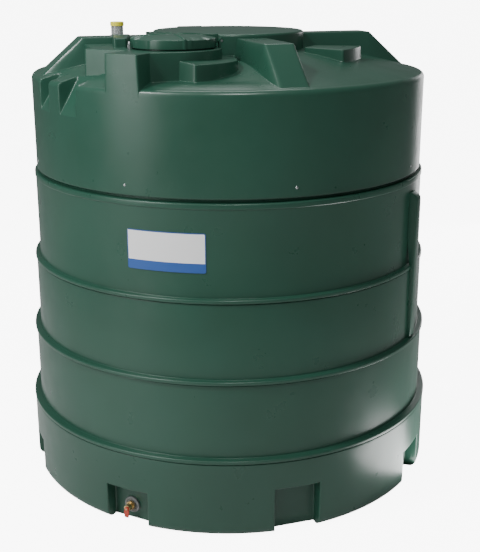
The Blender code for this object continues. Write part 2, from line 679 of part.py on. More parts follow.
def make_lock_staple(parts, cutters, steel):
    """A flat plate on edge with a slot for the padlock."""
    bottom = PLINTH_TOP_Z + GAP
    low = (STAPLE_X - STAPLE_THICKNESS / 2, STAPLE_Y - STAPLE_WIDTH / 2, bottom)
    high = (STAPLE_X + STAPLE_THICKNESS / 2, STAPLE_Y + STAPLE_WIDTH / 2, STAPLE_TOP_Z)
    plate = block("lock_staple", low, high, parts, steel)
    slot = block("staple_slot",
                 (low[0] - CLEAR, low[1] + STAPLE_THICKNESS, bottom + STAPLE_THICKNESS),
                 (high[0] + CLEAR, high[1] - STAPLE_THICKNESS, STAPLE_TOP_Z - STAPLE_THICKNESS),
                 cutters)
    combine(plate, slot, "DIFFERENCE")


def make_gauge(parts, clear, yellow):
    """A clear tube on the left rib with a yellow cap."""
    turned_ring("gauge_tube", [(GAUGE_RADIUS, GAUGE_CAP_Z), (GAUGE_RADIUS, RIB_TOP_Z + GAP),
                               (GAUGE_RADIUS - GAUGE_WALL, RIB_TOP_Z + GAP),
                               (GAUGE_RADIUS - GAUGE_WALL, GAUGE_CAP_Z)],
                (GAUGE_X, 0, 0), parts, clear, 32)
    bottom = GAUGE_CAP_Z + GAP
    turned_solid("gauge_cap", [(0, GAUGE_TOP_Z), (GAUGE_CAP_RADIUS, GAUGE_TOP_Z),
                               (GAUGE_CAP_RADIUS, bottom), (0, bottom)],
                 (GAUGE_X, 0, 0), parts, yellow, 32)


def make_hatch_step(parts, cutters, forms, green):
    """A step round the right side of the hatch's neck: an arc about the neck's axis in front."""
    outline = []
    turn = (HATCH_STEP_END - HATCH_STEP_START) / ARC_STEPS
    for index in range(ARC_STEPS + 1):
        corner = polar(HATCH_STEP_OUTER, HATCH_STEP_START + index * turn)
        outline.append((NECK_X + corner.x, NECK_Y + corner.y))
    outline += HATCH_STEP_BACK
    step = prism("step_hatch", outline, RIB_BOTTOM_Z, HATCH_STEP_TOP_Z, parts, green)
    neck = round_bar("neck_form", NECK_RADIUS + GAP, (NECK_X, NECK_Y, COVER_TOP_Z),
                     (NECK_X, NECK_Y, LID_TOP_Z), cutters, sides=ROUND_SIDES)
    for form in (*forms, neck):
        combine(step, form, "DIFFERENCE")


def make_roof_step(parts, form, green):
    """A step over the front right corner, curved in front and with one skewed end."""
    outline = [polar(ROOF_STEP_INNER, ROOF_STEP_END).xy,
               polar(ROOF_STEP_INNER, ROOF_STEP_START + ROOF_STEP_SKEW).xy]
    turn = (ROOF_STEP_END - ROOF_STEP_START) / ARC_STEPS
    for index in range(ARC_STEPS + 1):
        outline.append(polar(ROOF_STEP_OUTER, ROOF_STEP_START + index * turn).xy)
    step = prism("step_roof", outline, RIB_BOTTOM_Z, ROOF_STEP_TOP_Z, parts, green)
    combine(step, form, "DIFFERENCE")


def pocket_cutter(name, start, end, top, fall, collection):
    """A wedge of space over a floor that falls outwards from the pocket's inner end."""
    outer = BASE_RADIUS
    low = top - fall * (outer - POCKET_INNER)
    return turned_sector(name, [(POCKET_INNER, top), (outer, low), (outer, LID_TOP_Z),
                                (POCKET_INNER, LID_TOP_Z)], start, end, 0, collection)


def shoulder_solid(name, inner, lift, collection, material=None):
    """The shoulder before its pockets: the dome's section down to the notch in the wall."""
    rows = [row for row in roof_section() if row[0] > SHOULDER_INNER]
    profile = [(inner, SHOULDER_BOTTOM_Z), (TOP_RADIUS, SHOULDER_BOTTOM_Z)]
    for radius, depth in reversed(rows):
        height = DOME_APEX_Z - DOME_FALL * min(radius, TOP_RADIUS - RIM_ROUNDING) ** 2
        profile.append((radius, height + depth * (height - COVER_TOP_Z - GAP) + lift))
    profile.append((inner, DOME_APEX_Z - DOME_FALL * SHOULDER_INNER ** 2 + lift))
    return turned_sector(name, profile, SHOULDER_START, SHOULDER_END, 0, collection, material,
                         trim=ROOF_SEAM / 2 - lift)


def make_shoulder(parts, cutters, green):
    """The solid corner at the left with two pockets and the buttress between them."""
    shoulder = shoulder_solid("shoulder_left", SHOULDER_INNER + ROOF_SEAM / 2, 0.0, parts, green)
    fall = (POCKET_TOP_Z - POCKET_BOTTOM_Z) / (TOP_RADIUS - POCKET_INNER)
    first = pocket_cutter("pocket_first", FIRST_POCKET_START, BUTTRESS_START, POCKET_TOP_Z, fall,
                          cutters)
    second = pocket_cutter("pocket_second", BUTTRESS_END, SECOND_POCKET_END, POCKET_TOP_Z, fall,
                           cutters)
    for form in (first, second):
        combine(shoulder, form, "DIFFERENCE")
    return first, shoulder_solid("shoulder_form", SHOULDER_INNER, GAP, cutters)


def make_wall_channel(parts, green):
    """The upright strip on the right, on one flat facet of the wall, passing over the hoop."""
    flat = math.cos(math.radians(STEP_ANGLE / 2))
    hoop_top = MIDDLE_TOP_Z + HOOP_HEIGHT
    bottom = LOWER_TOP_Z + HOOP_HEIGHT + GAP
    upper = UPPER_RADIUS + GAP
    middle = MIDDLE_RADIUS + GAP
    hoop = MIDDLE_HOOP_RADIUS + GAP
    outline = [(LOWER_RADIUS, bottom), (LOWER_RADIUS, CHANNEL_TOP_Z), (upper, CHANNEL_TOP_Z),
               (upper, hoop_top + GAP), (hoop, hoop_top + GAP), (hoop, MIDDLE_TOP_Z - GAP),
               (middle, MIDDLE_TOP_Z - GAP), (middle, bottom)]
    shape = bmesh.new()
    left = LOWER_RADIUS * math.tan(math.radians(CHANNEL_START - CHANNEL_FACET))
    right = LOWER_RADIUS * math.tan(math.radians(CHANNEL_END - CHANNEL_FACET))
    face = shape.faces.new([shape.verts.new((left, -radius * flat, z)) for radius, z in outline])
    raised = bmesh.ops.extrude_face_region(shape, geom=[face])
    corners = [item for item in raised["geom"] if isinstance(item, bmesh.types.BMVert)]
    bmesh.ops.translate(shape, verts=corners, vec=(right - left, 0, 0))
    bmesh.ops.rotate(shape, cent=(0, 0, 0), verts=shape.verts,
                     matrix=Matrix.Rotation(math.radians(CHANNEL_FACET), 3, "Z"))
    mesh_object("wall_channel", shape, parts, green)


def make_plate(parts, white):
    """The bare plate on the front, bent round the upper band."""
    inner = UPPER_RADIUS + GAP
    outer = UPPER_RADIUS + PLATE_THICKNESS
    turned_sector("front_plate", [(inner, PLATE_BOTTOM_Z), (outer, PLATE_BOTTOM_Z),
                                  (outer, PLATE_TOP_Z), (inner, PLATE_TOP_Z)],
                  PLATE_START, PLATE_END, STEP_ANGLE / 2, parts, white)


def make_outlet(parts, cutters, grey, brass, red):
    """Outlet fitting on the slot's back wall: collar, nut, valve body and its lever."""
    side = SLOT_BACK * math.tan(math.radians(VALVE_AZIMUTH - VALVE_SLOT))

    def at(out):
        x, y = in_plan(out, side, VALVE_SLOT)
        return (x, y, VALVE_Z)

    collar_end = SLOT_BACK + GAP + COLLAR_DEPTH
    nut_end = collar_end + GAP + NUT_DEPTH
    body_end = nut_end + GAP + BODY_DEPTH
    stem_end = body_end + STEM_LENGTH
    round_bar("outlet_collar", COLLAR_RADIUS, at(SLOT_BACK + GAP), at(collar_end), parts, grey)
    round_bar("outlet_nut", NUT_RADIUS, at(collar_end + GAP), at(nut_end), parts, brass, sides=6)
    body = round_bar("valve_body", BODY_RADIUS, at(nut_end + GAP), at(body_end), parts, brass)
    stem = round_bar("valve_stem", STEM_RADIUS, at(body_end - CLEAR / 10), at(stem_end), cutters)
    combine(body, stem, "UNION")
    lever = block("valve_lever", (-LEVER_WIDTH / 2, -STEM_LENGTH + RUNNING_GAP, -LEVER_LENGTH),
                  (LEVER_WIDTH / 2, -RUNNING_GAP, LEVER_WIDTH / 2), parts, red)
    bore = round_bar("lever_bore", STEM_RADIUS + RUNNING_GAP, (0, -STEM_LENGTH - CLEAR, 0),
                     (0, CLEAR, 0), cutters)
    for piece in (lever, bore):
        piece.data.transform(Matrix.Rotation(math.radians(VALVE_SLOT), 4, "Z"))
        piece.location = at(body_end)
    combine(lever, bore, "DIFFERENCE")


def main():
    clear_scene()
    parts = new_collection("storage_tank")
    cutters = new_collection("cutters")
    green = finish_material("moulded_green", GREEN, 0.35)
    clear = finish_material("clear_plastic", PALE_GREY, 0.12)
    yellow = finish_material("yellow_plastic", YELLOW, 0.4)
    white = finish_material("white_plate", WHITE, 0.4)
    steel = finish_material("bare_steel", STEEL, 0.35, 1.0)
    grey = finish_material("grey_plastic", GREY, 0.45)
    brass = finish_material("brass", BRASS, 0.3, 1.0)
    red = finish_material("red_plastic", RED, 0.4)
    mouth = round_bar("mouth_bore", MOUTH_RADIUS, (HATCH_X, HATCH_Y, UPPER_TOP_Z),
                      (HATCH_X, HATCH_Y, TURRET_TOP_Z), cutters, sides=48)
    roof_form = make_roof_form(cutters)
    turret_form = make_turret(parts, cutters, green)
    rib_form = rib_shape("rib_form", -90.0, GAP, cutters)
    make_bund_floor(parts, green)
    make_base_sectors(parts, cutters, green)
    make_wall_sectors(parts, green)
    make_cover_walls(parts, cutters, green)
    make_roof_quarters(parts, cutters, mouth, green)
    first_pocket, shoulder_form = make_shoulder(parts, cutters, green)
    make_ribs(parts, roof_form, turret_form, (shoulder_form, first_pocket), green)
    make_hatch_plinth(parts, cutters, (roof_form, turret_form, rib_form, shoulder_form, mouth),
                      green)
    make_hatch_coaming(parts, green)
    make_hatch_lid(parts, cutters, green)
    make_hatch_hinge(parts, cutters, green, steel)
    make_lock_bar(parts, rib_form, green)
    make_lock_staple(parts, cutters, steel)
    make_gauge(parts, clear, yellow)
    make_hatch_step(parts, cutters, (roof_form, turret_form), green)
    make_roof_step(parts, roof_form, green)
    make_wall_channel(parts, green)
    make_plate(parts, white)
    make_outlet(parts, cutters, grey, brass, red)


main()
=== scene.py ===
"""Looks of the bunded storage tank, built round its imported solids.

The tank stands on the XY plane with its axis on Z. Azimuths are in degrees from the front, -Y,
towards +X. All lengths are metres.
"""

import math

import bmesh
import bpy
import numpy as np
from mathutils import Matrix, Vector


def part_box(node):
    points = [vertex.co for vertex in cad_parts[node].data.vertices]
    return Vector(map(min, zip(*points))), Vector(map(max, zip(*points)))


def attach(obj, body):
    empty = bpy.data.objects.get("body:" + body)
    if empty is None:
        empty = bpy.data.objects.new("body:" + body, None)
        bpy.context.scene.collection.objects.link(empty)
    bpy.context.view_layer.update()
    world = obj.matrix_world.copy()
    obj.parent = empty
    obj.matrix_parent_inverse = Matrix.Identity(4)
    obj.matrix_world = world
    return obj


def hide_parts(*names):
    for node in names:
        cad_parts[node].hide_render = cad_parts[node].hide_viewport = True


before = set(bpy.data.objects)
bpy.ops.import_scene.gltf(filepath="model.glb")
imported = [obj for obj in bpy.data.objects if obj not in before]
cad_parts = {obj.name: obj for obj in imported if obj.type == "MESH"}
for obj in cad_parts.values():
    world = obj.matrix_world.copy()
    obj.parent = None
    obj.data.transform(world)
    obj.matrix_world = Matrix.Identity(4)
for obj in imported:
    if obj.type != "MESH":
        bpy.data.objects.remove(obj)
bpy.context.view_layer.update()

# Bund: its bands, the hoops between them and the slots pressed into its foot.
BASE_RADIUS = 1.225
LOWER_RADIUS = 1.189
MIDDLE_RADIUS = 1.165
UPPER_RADIUS = 1.142
BASE_TOP_Z = 0.427
LOWER_TOP_Z = 0.864
MIDDLE_TOP_Z = 1.300
UPPER_TOP_Z = 1.817
HOOP_HEIGHT = 0.025
HOOP_GROOVE = 0.006
BASE_HOOP_RADIUS = 1.228
LOWER_HOOP_RADIUS = 1.199
MIDDLE_HOOP_RADIUS = 1.171
LIP_RADIUS = 1.146
LIP_HEIGHT = 0.030
LIP_INNER = 1.100
WALL = 0.012
FOOT_ROUNDING = 0.045
FOOT_INNER = 1.120
SLOT_COUNT = 8
SLOT_HALF = 0.128
SLOT_BACK = 1.146
SLOT_LOW_Z = 0.214
SLOT_HIGH_Z = 0.268
NOTCH_ROUNDING = 0.008
NOTCH_DRAFT = 0.003

# Weather cover: its wall, rim and roof, with the recess and the ledge by the hatch.
COVER_RADIUS = 1.132
COVER_BOTTOM_Z = 1.836
SKIRT_RADIUS = 1.118
BEAD_RADIUS = 1.126
BEAD_Z = 1.8265
COVER_TOP_Z = 2.339
RIM_ROUNDING = 0.030
ROOF_EDGE = COVER_RADIUS - RIM_ROUNDING
ROOF_INNER = 0.400
DOME_APEX_Z = 2.508
DOME_FALL = 0.115
RECESS_RADII = (0.400, 0.750, 0.935, 1.040, 1.102)
RECESS_HEIGHTS = (2.463, 2.4155, 2.3905, 2.387, 2.366)
RECESS_END = -14.0
RECESS_BLEND = 8.0
LEDGE_START = -60.0
LEDGE_END = -45.0
LEDGE_RADIUS = 0.931
LEDGE_Z = 2.420
LEDGE_FALL = 0.338
POCKETS = ((-80.8, -74.3), (-68.3, -60.8))
POCKET_INNER = 1.008
POCKET_TOP_Z = 2.3915
POCKET_BOTTOM_Z = 2.200
POCKET_DEPTH = 0.050
MOUTH_CLEAR = 0.197

# What stands on the roof.
TURRET_RADIUS = 0.4355
TURRET_TOP_Z = 2.588
TURRET_FOOT_Z = 2.455
TURRET_ROUNDING = 0.014
RIB_TOP_Z = 2.566
RIB_START = 0.415
RIB_TOP_END = 0.863
RIB_TOP_HALF = 0.082
RIB_END_SLOPE = 1.164
RIB_SIDE_SLOPE = 0.154
RIB_AZIMUTHS = {"front": 0.0, "right": 90.0, "rear": 180.0, "left": -90.0}
HATCH = np.array((-0.457, -0.503))
NECK = np.array((-0.500, -0.485))
NECK_RADIUS = 0.300
PLINTH_TOP_Z = 2.531
NOSE_HALF = 0.095
NOSE_BACK = 1.015
MOUTH_RADIUS = 0.180
MOUTH_FOOT_Z = 2.425
NOSE_FOOT_Z = 2.050
COAMING_RADIUS = 0.195
COAMING_TOP_Z = 2.562
LID_RADIUS = 0.225
LID_SKIRT_Z = 2.5375
LID_TOP_Z = 2.602
LID_TOP_RADIUS = 0.150
LID_RIM = 0.222
LID_DOME_FALL = 0.019
LID_SEAT_Z = 2.5623
LID_UNDER_Z = 2.588
LID_RIB_START = 1.0
LID_DIP_MIDDLE = 27.0
LID_DIP = 0.006
HINGE = (-0.2095, -0.503, 2.566)
KNUCKLE_HALF = 0.030
KNUCKLE_BORE = 0.0071
KNUCKLE_RADIUS = 0.014
LUG_REACH = (-0.110, -0.009)
LUG_TOP_Z = 2.600
LOCK_BAR = ((-0.757, -0.435), (-0.689, -0.435), (-0.595, -0.070), (-0.695, -0.070))
LOCK_BAR_TOP_Z = 2.580
HATCH_STEP_ARC = (8.4, 60.0)
HATCH_STEP_OUTER = 0.391
HATCH_STEP_BACK = ((-0.112, -0.449), (-0.300, -0.400), (-0.533, -0.734))
ROOF_STEP_ARC = (36.3, 60.0)
ROOF_STEP_INNER = 0.505
ROOF_STEP_OUTER = 0.770
ROOF_STEP_SKEW = 3.7
ROOF_STEP_TOP_Z = 2.507
GAUGE_X = -0.650

# Outlet in the slot at the front left.
SLOT_AZIMUTH = -45.0
VALVE_TURN = -0.6
VALVE_Z = 0.083
COLLAR_RADIUS = 0.047
COLLAR_DEPTH = 0.012
LEVER_OUT = (1.2080, 1.2148)
LEVER_OUTLINE = ((-0.009, 0.011), (0.010, 0.011), (0.016, -0.020), (0.014, -0.052),
                 (-0.014, -0.052), (-0.016, -0.020))

SKY_LIGHT = 0.16
BACKDROP = 8.0
MERGE = 0.00002
EMBED = 0.006


def smooth(value, start, end):
    """0 before start, 1 after end, and an S-shaped rise between them."""
    share = np.clip((value - start) / (end - start), 0.0, 1.0)
    return share * share * (3 - 2 * share)


def polar(radius, azimuth):
    """x and y at a radius and an azimuth: radius times the sine, and minus its cosine."""
    turn = np.radians(azimuth)
    return radius * np.sin(turn), -radius * np.cos(turn)


def rounded(corners, radius, closed=True, steps=5):
    """A path with each corner replaced by an arc that touches both of its sides."""
    corners = np.asarray(corners, float)
    radii = np.broadcast_to(radius, len(corners))
    path = []
    for index, here in enumerate(corners):
        back = corners[index - 1] - here
        ahead = corners[(index + 1) % len(corners)] - here
        lengths = np.linalg.norm(back), np.linalg.norm(ahead)
        back, ahead = back / lengths[0], ahead / lengths[1]
        half = math.acos(np.clip(back @ ahead, -1, 1)) / 2
        reach = min(radii[index] / math.tan(half), 0.48 * min(lengths))
        open_end = not closed and index in (0, len(corners) - 1)
        if open_end or reach < 0.0001:
            path.append(here[None])
            continue
        size = reach * math.tan(half)
        middle = (back + ahead) / np.linalg.norm(back + ahead)
        centre = here + middle * size / math.sin(half)
        first, last = here + back * reach - centre, here + ahead * reach - centre
        turn = math.pi - 2 * half
        share = np.linspace(0, 1, steps + 1)[:, None]
        path.append(centre + (np.sin((1 - share) * turn) * first + np.sin(share * turn) * last)
                    / math.sin(turn))
    return np.concatenate(path)


def resampled(path, count):
    """Evenly spaced points on a closed path, and every corner of the path kept close."""
    loop = np.vstack([path, path[:1]])
    along = np.concatenate([[0], np.cumsum(np.linalg.norm(np.diff(loop, axis=0), axis=1))])
    even = np.linspace(0, along[-1], count, endpoint=False)
    where = np.unique(np.round(np.concatenate([even, along[:-1]]), 5))
    return np.stack([np.interp(where, along, loop[:, axis]) for axis in (0, 1)], axis=-1)


def outward(path):
    """Unit vectors that point out of a closed path that runs anticlockwise."""
    along = np.roll(path, -1, axis=0) - np.roll(path, 1, axis=0)
    along /= np.linalg.norm(along, axis=1)[:, None]
    return np.stack([along[:, 1], -along[:, 0]], axis=-1)


def anticlockwise(path):
    """The path itself, or turned about so that its area is positive."""
    ahead = np.roll(path, -1, axis=0)
    area = (path[:, 0] * ahead[:, 1] - ahead[:, 0] * path[:, 1]).sum()
    return path if area > 0 else path[::-1]


def grid_faces(rows, columns, wrap_rows=False, wrap_columns=False):
    """The four corner numbers of each cell in a grid of points, row by row."""
    row = np.arange(rows if wrap_rows else rows - 1)[:, None]
    column = np.arange(columns if wrap_columns else columns - 1)[None, :]
    next_row, next_column = (row + 1) % rows, (column + 1) % columns
    corners = (row * columns + column, row * columns + next_column,
               next_row * columns + next_column, next_row * columns + column)
    return np.stack(np.broadcast_arrays(*corners), axis=-1).reshape(-1, 4)


def piece(name, points, faces, finish, slot, body="tank", nodes=(), sharp=32):
    """A closed mesh whose doubles are merged and whose faces point out, riding on a body."""
    mesh = bpy.data.meshes.new(name)
    mesh.from_pydata(points.reshape(-1, 3).tolist(), [], [list(face) for face in faces])
    shape = bmesh.new()
    shape.from_mesh(mesh)
    bmesh.ops.remove_doubles(shape, verts=shape.verts, dist=MERGE)
    bmesh.ops.recalc_face_normals(shape, faces=shape.faces)
    shape.to_mesh(mesh)
    shape.free()
    mesh.shade_smooth()
    mesh.set_sharp_from_angle(angle=math.radians(sharp))
    mesh.materials.append(finish)
    made = bpy.data.objects.new(name, mesh)
    bpy.context.scene.collection.objects.link(made)
    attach(made, body)
    if nodes:
        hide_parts(*nodes)
    return made


def turned(name, profile, centre, finish, slot, steps=96, **rest):
    """A (radius, z) profile carried round an upright axis: closed, or from the axis to the axis."""
    profile = np.asarray(profile, float)
    on_axis = profile[0, 0] == 0
    x, y = polar(profile[None, :, 0], np.linspace(0, 360, steps, endpoint=False)[:, None])
    points = np.stack([x + centre[0], y + centre[1],
                       np.broadcast_to(profile[:, 1], x.shape)], axis=-1)
    faces = grid_faces(*x.shape, wrap_rows=True, wrap_columns=not on_axis)
    return piece(name, points, faces, finish, slot, **rest)


def cylinder_about(name, profile, middle, azimuth, finish, slot, steps=64, **rest):
    """A (radius, out) profile turned about a level axis that points outwards along an azimuth."""
    profile = np.asarray(profile, float)
    turn = np.linspace(0, math.tau, steps, endpoint=False)[:, None]
    side, up = profile[:, 0] * np.cos(turn), profile[:, 0] * np.sin(turn)
    out_x, out_y = polar(1.0, azimuth)
    points = np.stack([middle[0] + profile[:, 1] * out_x - side * out_y,
                       middle[1] + profile[:, 1] * out_y + side * out_x,
                       middle[2] + up + 0 * profile[:, 1]], axis=-1)
    faces = grid_faces(*side.shape, wrap_rows=True, wrap_columns=True)
    return piece(name, points, faces, finish, slot, **rest)


def raised_rings(path, spread, top, foot, edge, fillet):
    """Rings of a raised form, from the rim of its flat top to below its foot.

    Each ring is the path moved outwards: inwards by the rounding of the top edge, then by the
    spread per metre of depth, then by the fillet where the side meets what carries it.
    """
    normal = outward(path)
    height = top(*path.T) - foot(*path.T)
    for _ in range(3):
        moved = path + spread * height[:, None] + normal * fillet
        height = top(*path.T) - foot(*moved.T)
    height = np.maximum(height, 0.002)
    turn = np.linspace(0, 1, 6)
    rise = [(-edge * (1 - t) ** 2, edge * t ** 2 + 0 * height) for t in turn]
    body = [(0.0, edge + (height - fillet - edge) * t) for t in (0.25, 0.5, 0.75)]
    flare = [(fillet * t ** 2, height - fillet * (1 - t) ** 2) for t in turn]
    rings = []
    for shift, depth in [*rise, *body, *flare, (fillet, height + EMBED)]:
        depth = np.clip(depth, 0, height + EMBED)
        flat = path + normal * shift + spread * depth[:, None]
        rings.append(np.column_stack([flat, top(*path.T) - depth]))
    return np.array(rings)


def raised_piece(name, path, top, finish, spread=0.05, edge=0.005, fillet=0.006, nodes=(),
                 foot=None, body="tank"):
    """A closed raised form on the roof: its rings, a flat lid at the top and one at the foot."""
    path = anticlockwise(np.asarray(path))
    if np.ndim(spread) < 2:
        spread = outward(path) * spread
    rings = raised_rings(path, spread, top, foot or roof_surface, edge, fillet)
    count = len(path)
    last = (len(rings) - 1) * count
    faces = [*grid_faces(len(rings), count, wrap_columns=True).tolist(),
             list(range(count)), list(range(last, last + count))]
    return piece(name, rings, faces, finish, "moulded_green", body=body, nodes=nodes)


def roof_height(radius, azimuth):
    """Height of the roof: a dome, lowered to the recess's section, and to the sloping ledge."""
    dome = DOME_APEX_Z - DOME_FALL * radius * radius
    recess = np.minimum(dome, np.interp(radius, RECESS_RADII, RECESS_HEIGHTS))
    slope = LEDGE_Z - LEDGE_FALL * (radius - LEDGE_RADIUS)
    ledge = np.where(radius > LEDGE_RADIUS, slope, np.minimum(dome, slope))
    over = smooth(azimuth, LEDGE_END - 2, LEDGE_END + 1)
    on_ledge = smooth(azimuth, LEDGE_START - 0.5, LEDGE_START + 0.5) * (1 - over)
    in_recess = over * (1 - smooth(azimuth, RECESS_END, RECESS_END + RECESS_BLEND))
    outside = smooth(radius, TURRET_RADIUS - 0.004, TURRET_RADIUS)
    height = dome + (ledge - dome) * on_ledge + (recess - dome) * in_recess
    return dome + (height - dome) * outside


def roof_surface(x, y):
    """Height of the roof at a place, down over the rounded rim."""
    radius = np.hypot(x, y)
    azimuth = np.degrees(np.arctan2(x, -y))
    height = roof_height(np.minimum(radius, ROOF_EDGE), azimuth)
    over = np.clip((radius - ROOF_EDGE) / RIM_ROUNDING, 0, 1)
    return COVER_TOP_Z + (height - COVER_TOP_Z) * np.sqrt(1 - over * over)


def notch_depth(inside, full):
    """How deep a pressed notch is at a distance inside its edge.

    It falls over a rounded brow, down a steep drafted wall and through a rounded foot.
    """
    brow = NOTCH_ROUNDING
    before = np.clip(inside, -brow, 0) + brow
    fall = brow - np.sqrt(np.maximum(brow * brow - before * before, 0))
    wall = brow + (full - 2 * brow) * np.clip(inside / NOTCH_DRAFT, 0, 1)
    past = np.clip((inside - NOTCH_DRAFT) / brow, 0, 1)
    foot = full - brow + brow * np.sqrt(1 - (1 - past) ** 2)
    return np.where(inside <= 0, fall, np.where(inside < NOTCH_DRAFT, wall, foot))


def notch_lines():
    """Distances inside a notch's edge at which the grid needs a line."""
    part = np.array((0.12, 0.35, 0.65, 1.0)) * NOTCH_ROUNDING
    return np.concatenate([-part[::-1], [0, NOTCH_DRAFT], NOTCH_DRAFT + part])


def clustered(regular, clusters, gap):
    """Regular steps together with clusters, without the steps that lie close to a cluster."""
    nearest = np.abs(regular[:, None] - clusters[None, :]).min(axis=1)
    return np.sort(np.concatenate([regular[nearest > gap], clusters]))


def hoop(lower, hoop_radius, upper, z):
    """Corners of the joint between two bands: a fine groove, then the hoop, then the step in."""
    return [(lower, z, 0.006), (lower - HOOP_GROOVE, z + 0.0008, 0.0004),
            (hoop_radius, z + HOOP_GROOVE, 0.002), (hoop_radius, z + HOOP_HEIGHT, 0.007),
            (upper, z + HOOP_HEIGHT, 0.003)]


def bund_profile():
    """The bund's section as (radius, z) points: up the outside, over the lip and down inside."""
    foot = rounded([(FOOT_INNER, 0), (BASE_RADIUS, 0), (BASE_RADIUS, 0.1)],
                   FOOT_ROUNDING, closed=False, steps=9)[:-1]
    foot = np.vstack([foot[:1], [(SLOT_BACK, 0), (1.165, 0)], foot[1:]])
    lines = np.concatenate([ceiling - notch_lines() for ceiling in (SLOT_LOW_Z, SLOT_HIGH_Z)])
    heights = np.sort(np.concatenate([(0.07, 0.11, 0.15, 0.185, 0.31, 0.36, 0.40), lines]))
    band = np.column_stack([np.full(len(heights), BASE_RADIUS), heights])
    lip = UPPER_TOP_Z - LIP_HEIGHT
    outside = [(BASE_RADIUS, 0.41, 0),
               *hoop(BASE_RADIUS, BASE_HOOP_RADIUS, LOWER_RADIUS, BASE_TOP_Z),
               *hoop(LOWER_RADIUS, LOWER_HOOP_RADIUS, MIDDLE_RADIUS, LOWER_TOP_Z),
               *hoop(MIDDLE_RADIUS, MIDDLE_HOOP_RADIUS, UPPER_RADIUS, MIDDLE_TOP_Z),
               (UPPER_RADIUS, lip, 0.003), (LIP_RADIUS, lip + 0.004, 0.002),
               (LIP_RADIUS, UPPER_TOP_Z, 0.006), (LIP_INNER, UPPER_TOP_Z, 0)]
    inside = [(LIP_INNER, UPPER_TOP_Z - WALL), (UPPER_RADIUS - WALL, UPPER_TOP_Z - WALL),
              (UPPER_RADIUS - WALL, MIDDLE_TOP_Z), (MIDDLE_RADIUS - WALL, MIDDLE_TOP_Z - WALL),
              (MIDDLE_RADIUS - WALL, LOWER_TOP_Z), (LOWER_RADIUS - WALL, LOWER_TOP_Z - WALL),
              (LOWER_RADIUS - WALL, BASE_TOP_Z), (FOOT_INNER, BASE_TOP_Z - WALL)]
    outside = np.array(outside)
    outer = rounded(outside[:, :2], outside[:, 2], closed=False, steps=4)
    return np.vstack([foot, band, outer, inside])


def make_bund(green):
    """The bund: its section carried round the axis, with eight slots pressed into the foot."""
    profile = bund_profile()
    half_turns = np.degrees(np.arcsin((SLOT_HALF - notch_lines()) / BASE_RADIUS))
    pitch = 360 / SLOT_COUNT
    centres = np.arange(SLOT_COUNT)[:, None] * pitch
    lines = np.concatenate([centres - half_turns, centres + half_turns], axis=1).ravel() % 360
    azimuth = clustered(np.arange(0, 360, 1.5), lines, 0.3)[:, None]
    from_slot = (azimuth + pitch / 2) % pitch - pitch / 2
    ceiling = np.where(np.round((azimuth - from_slot) / pitch) % 4 == 0, SLOT_HIGH_Z, SLOT_LOW_Z)
    radius, z = profile[None, :, 0], profile[None, :, 1]
    side_here = BASE_RADIUS * np.sin(np.radians(from_slot))
    full = np.sqrt(BASE_RADIUS ** 2 - side_here ** 2) - SLOT_BACK
    inside = np.minimum(SLOT_HALF - np.abs(side_here), ceiling - z)
    depth = np.where(inside > -NOTCH_ROUNDING, notch_depth(inside, full), 0)
    out = radius * np.cos(np.radians(from_slot))
    pressed = np.minimum(out, full + SLOT_BACK - depth)
    outer_rows = radius > FOOT_INNER + 0.001
    low_rows = z < 0.35
    out = np.where(outer_rows & low_rows & (depth > 0), pressed, out)
    side = radius * np.sin(np.radians(from_slot)) + 0 * z
    straight = np.clip(depth / full, 0, 1) * (outer_rows & low_rows)
    side = side + (side_here - side) * straight
    middle = np.radians(azimuth - from_slot)
    points = np.stack([out * np.sin(middle) + side * np.cos(middle),
                       side * np.sin(middle) - out * np.cos(middle), z + 0 * out], axis=-1)
    nodes = [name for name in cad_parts
             if name.startswith(("base_", "wall_")) and name != "wall_channel"]
    return piece("bund", points, grid_faces(*out.shape, wrap_rows=True, wrap_columns=True),
                 green, "moulded_green", nodes=nodes)


def cover_rows():
    """The cover's section: radius, share of the rim's fall, and height where it is upright."""
    radii = np.concatenate([np.linspace(ROOF_INNER, 0.92, 20), (0.931, 0.935, 0.95, 0.97, 0.99),
                            (POCKET_INNER, 1.02, 1.035, 1.04, 1.05, 1.07, 1.09, ROOF_EDGE)])
    turn = np.linspace(0, math.pi / 2, 9)[1:]
    rim = ROOF_EDGE + RIM_ROUNDING * np.sin(turn)
    upright = np.concatenate([np.linspace(2.328, POCKET_BOTTOM_Z, 10), (2.194, 2.18),
                              np.linspace(2.10, 1.90, 4), (1.86,)])
    lip = rounded([(COVER_RADIUS, 1.85), (COVER_RADIUS, COVER_BOTTOM_Z),
                   (SKIRT_RADIUS, COVER_BOTTOM_Z), (SKIRT_RADIUS, BEAD_Z + 0.003),
                   (BEAD_RADIUS, BEAD_Z), (SKIRT_RADIUS, BEAD_Z - 0.003),
                   (SKIRT_RADIUS, UPPER_TOP_Z + 0.0003)],
                  (0, 0.004, 0.001, 0.001, 0.002, 0.001, 0), closed=False, steps=4)
    radius = np.concatenate([radii, rim, np.full(len(upright), COVER_RADIUS), lip[:, 0]])
    share = np.concatenate([np.ones(len(radii)), np.cos(turn),
                            np.zeros(len(upright) + len(lip))])
    fixed = np.concatenate([np.full(len(radii) + len(turn), COVER_TOP_Z), upright, lip[:, 1]])
    return radius, share, fixed


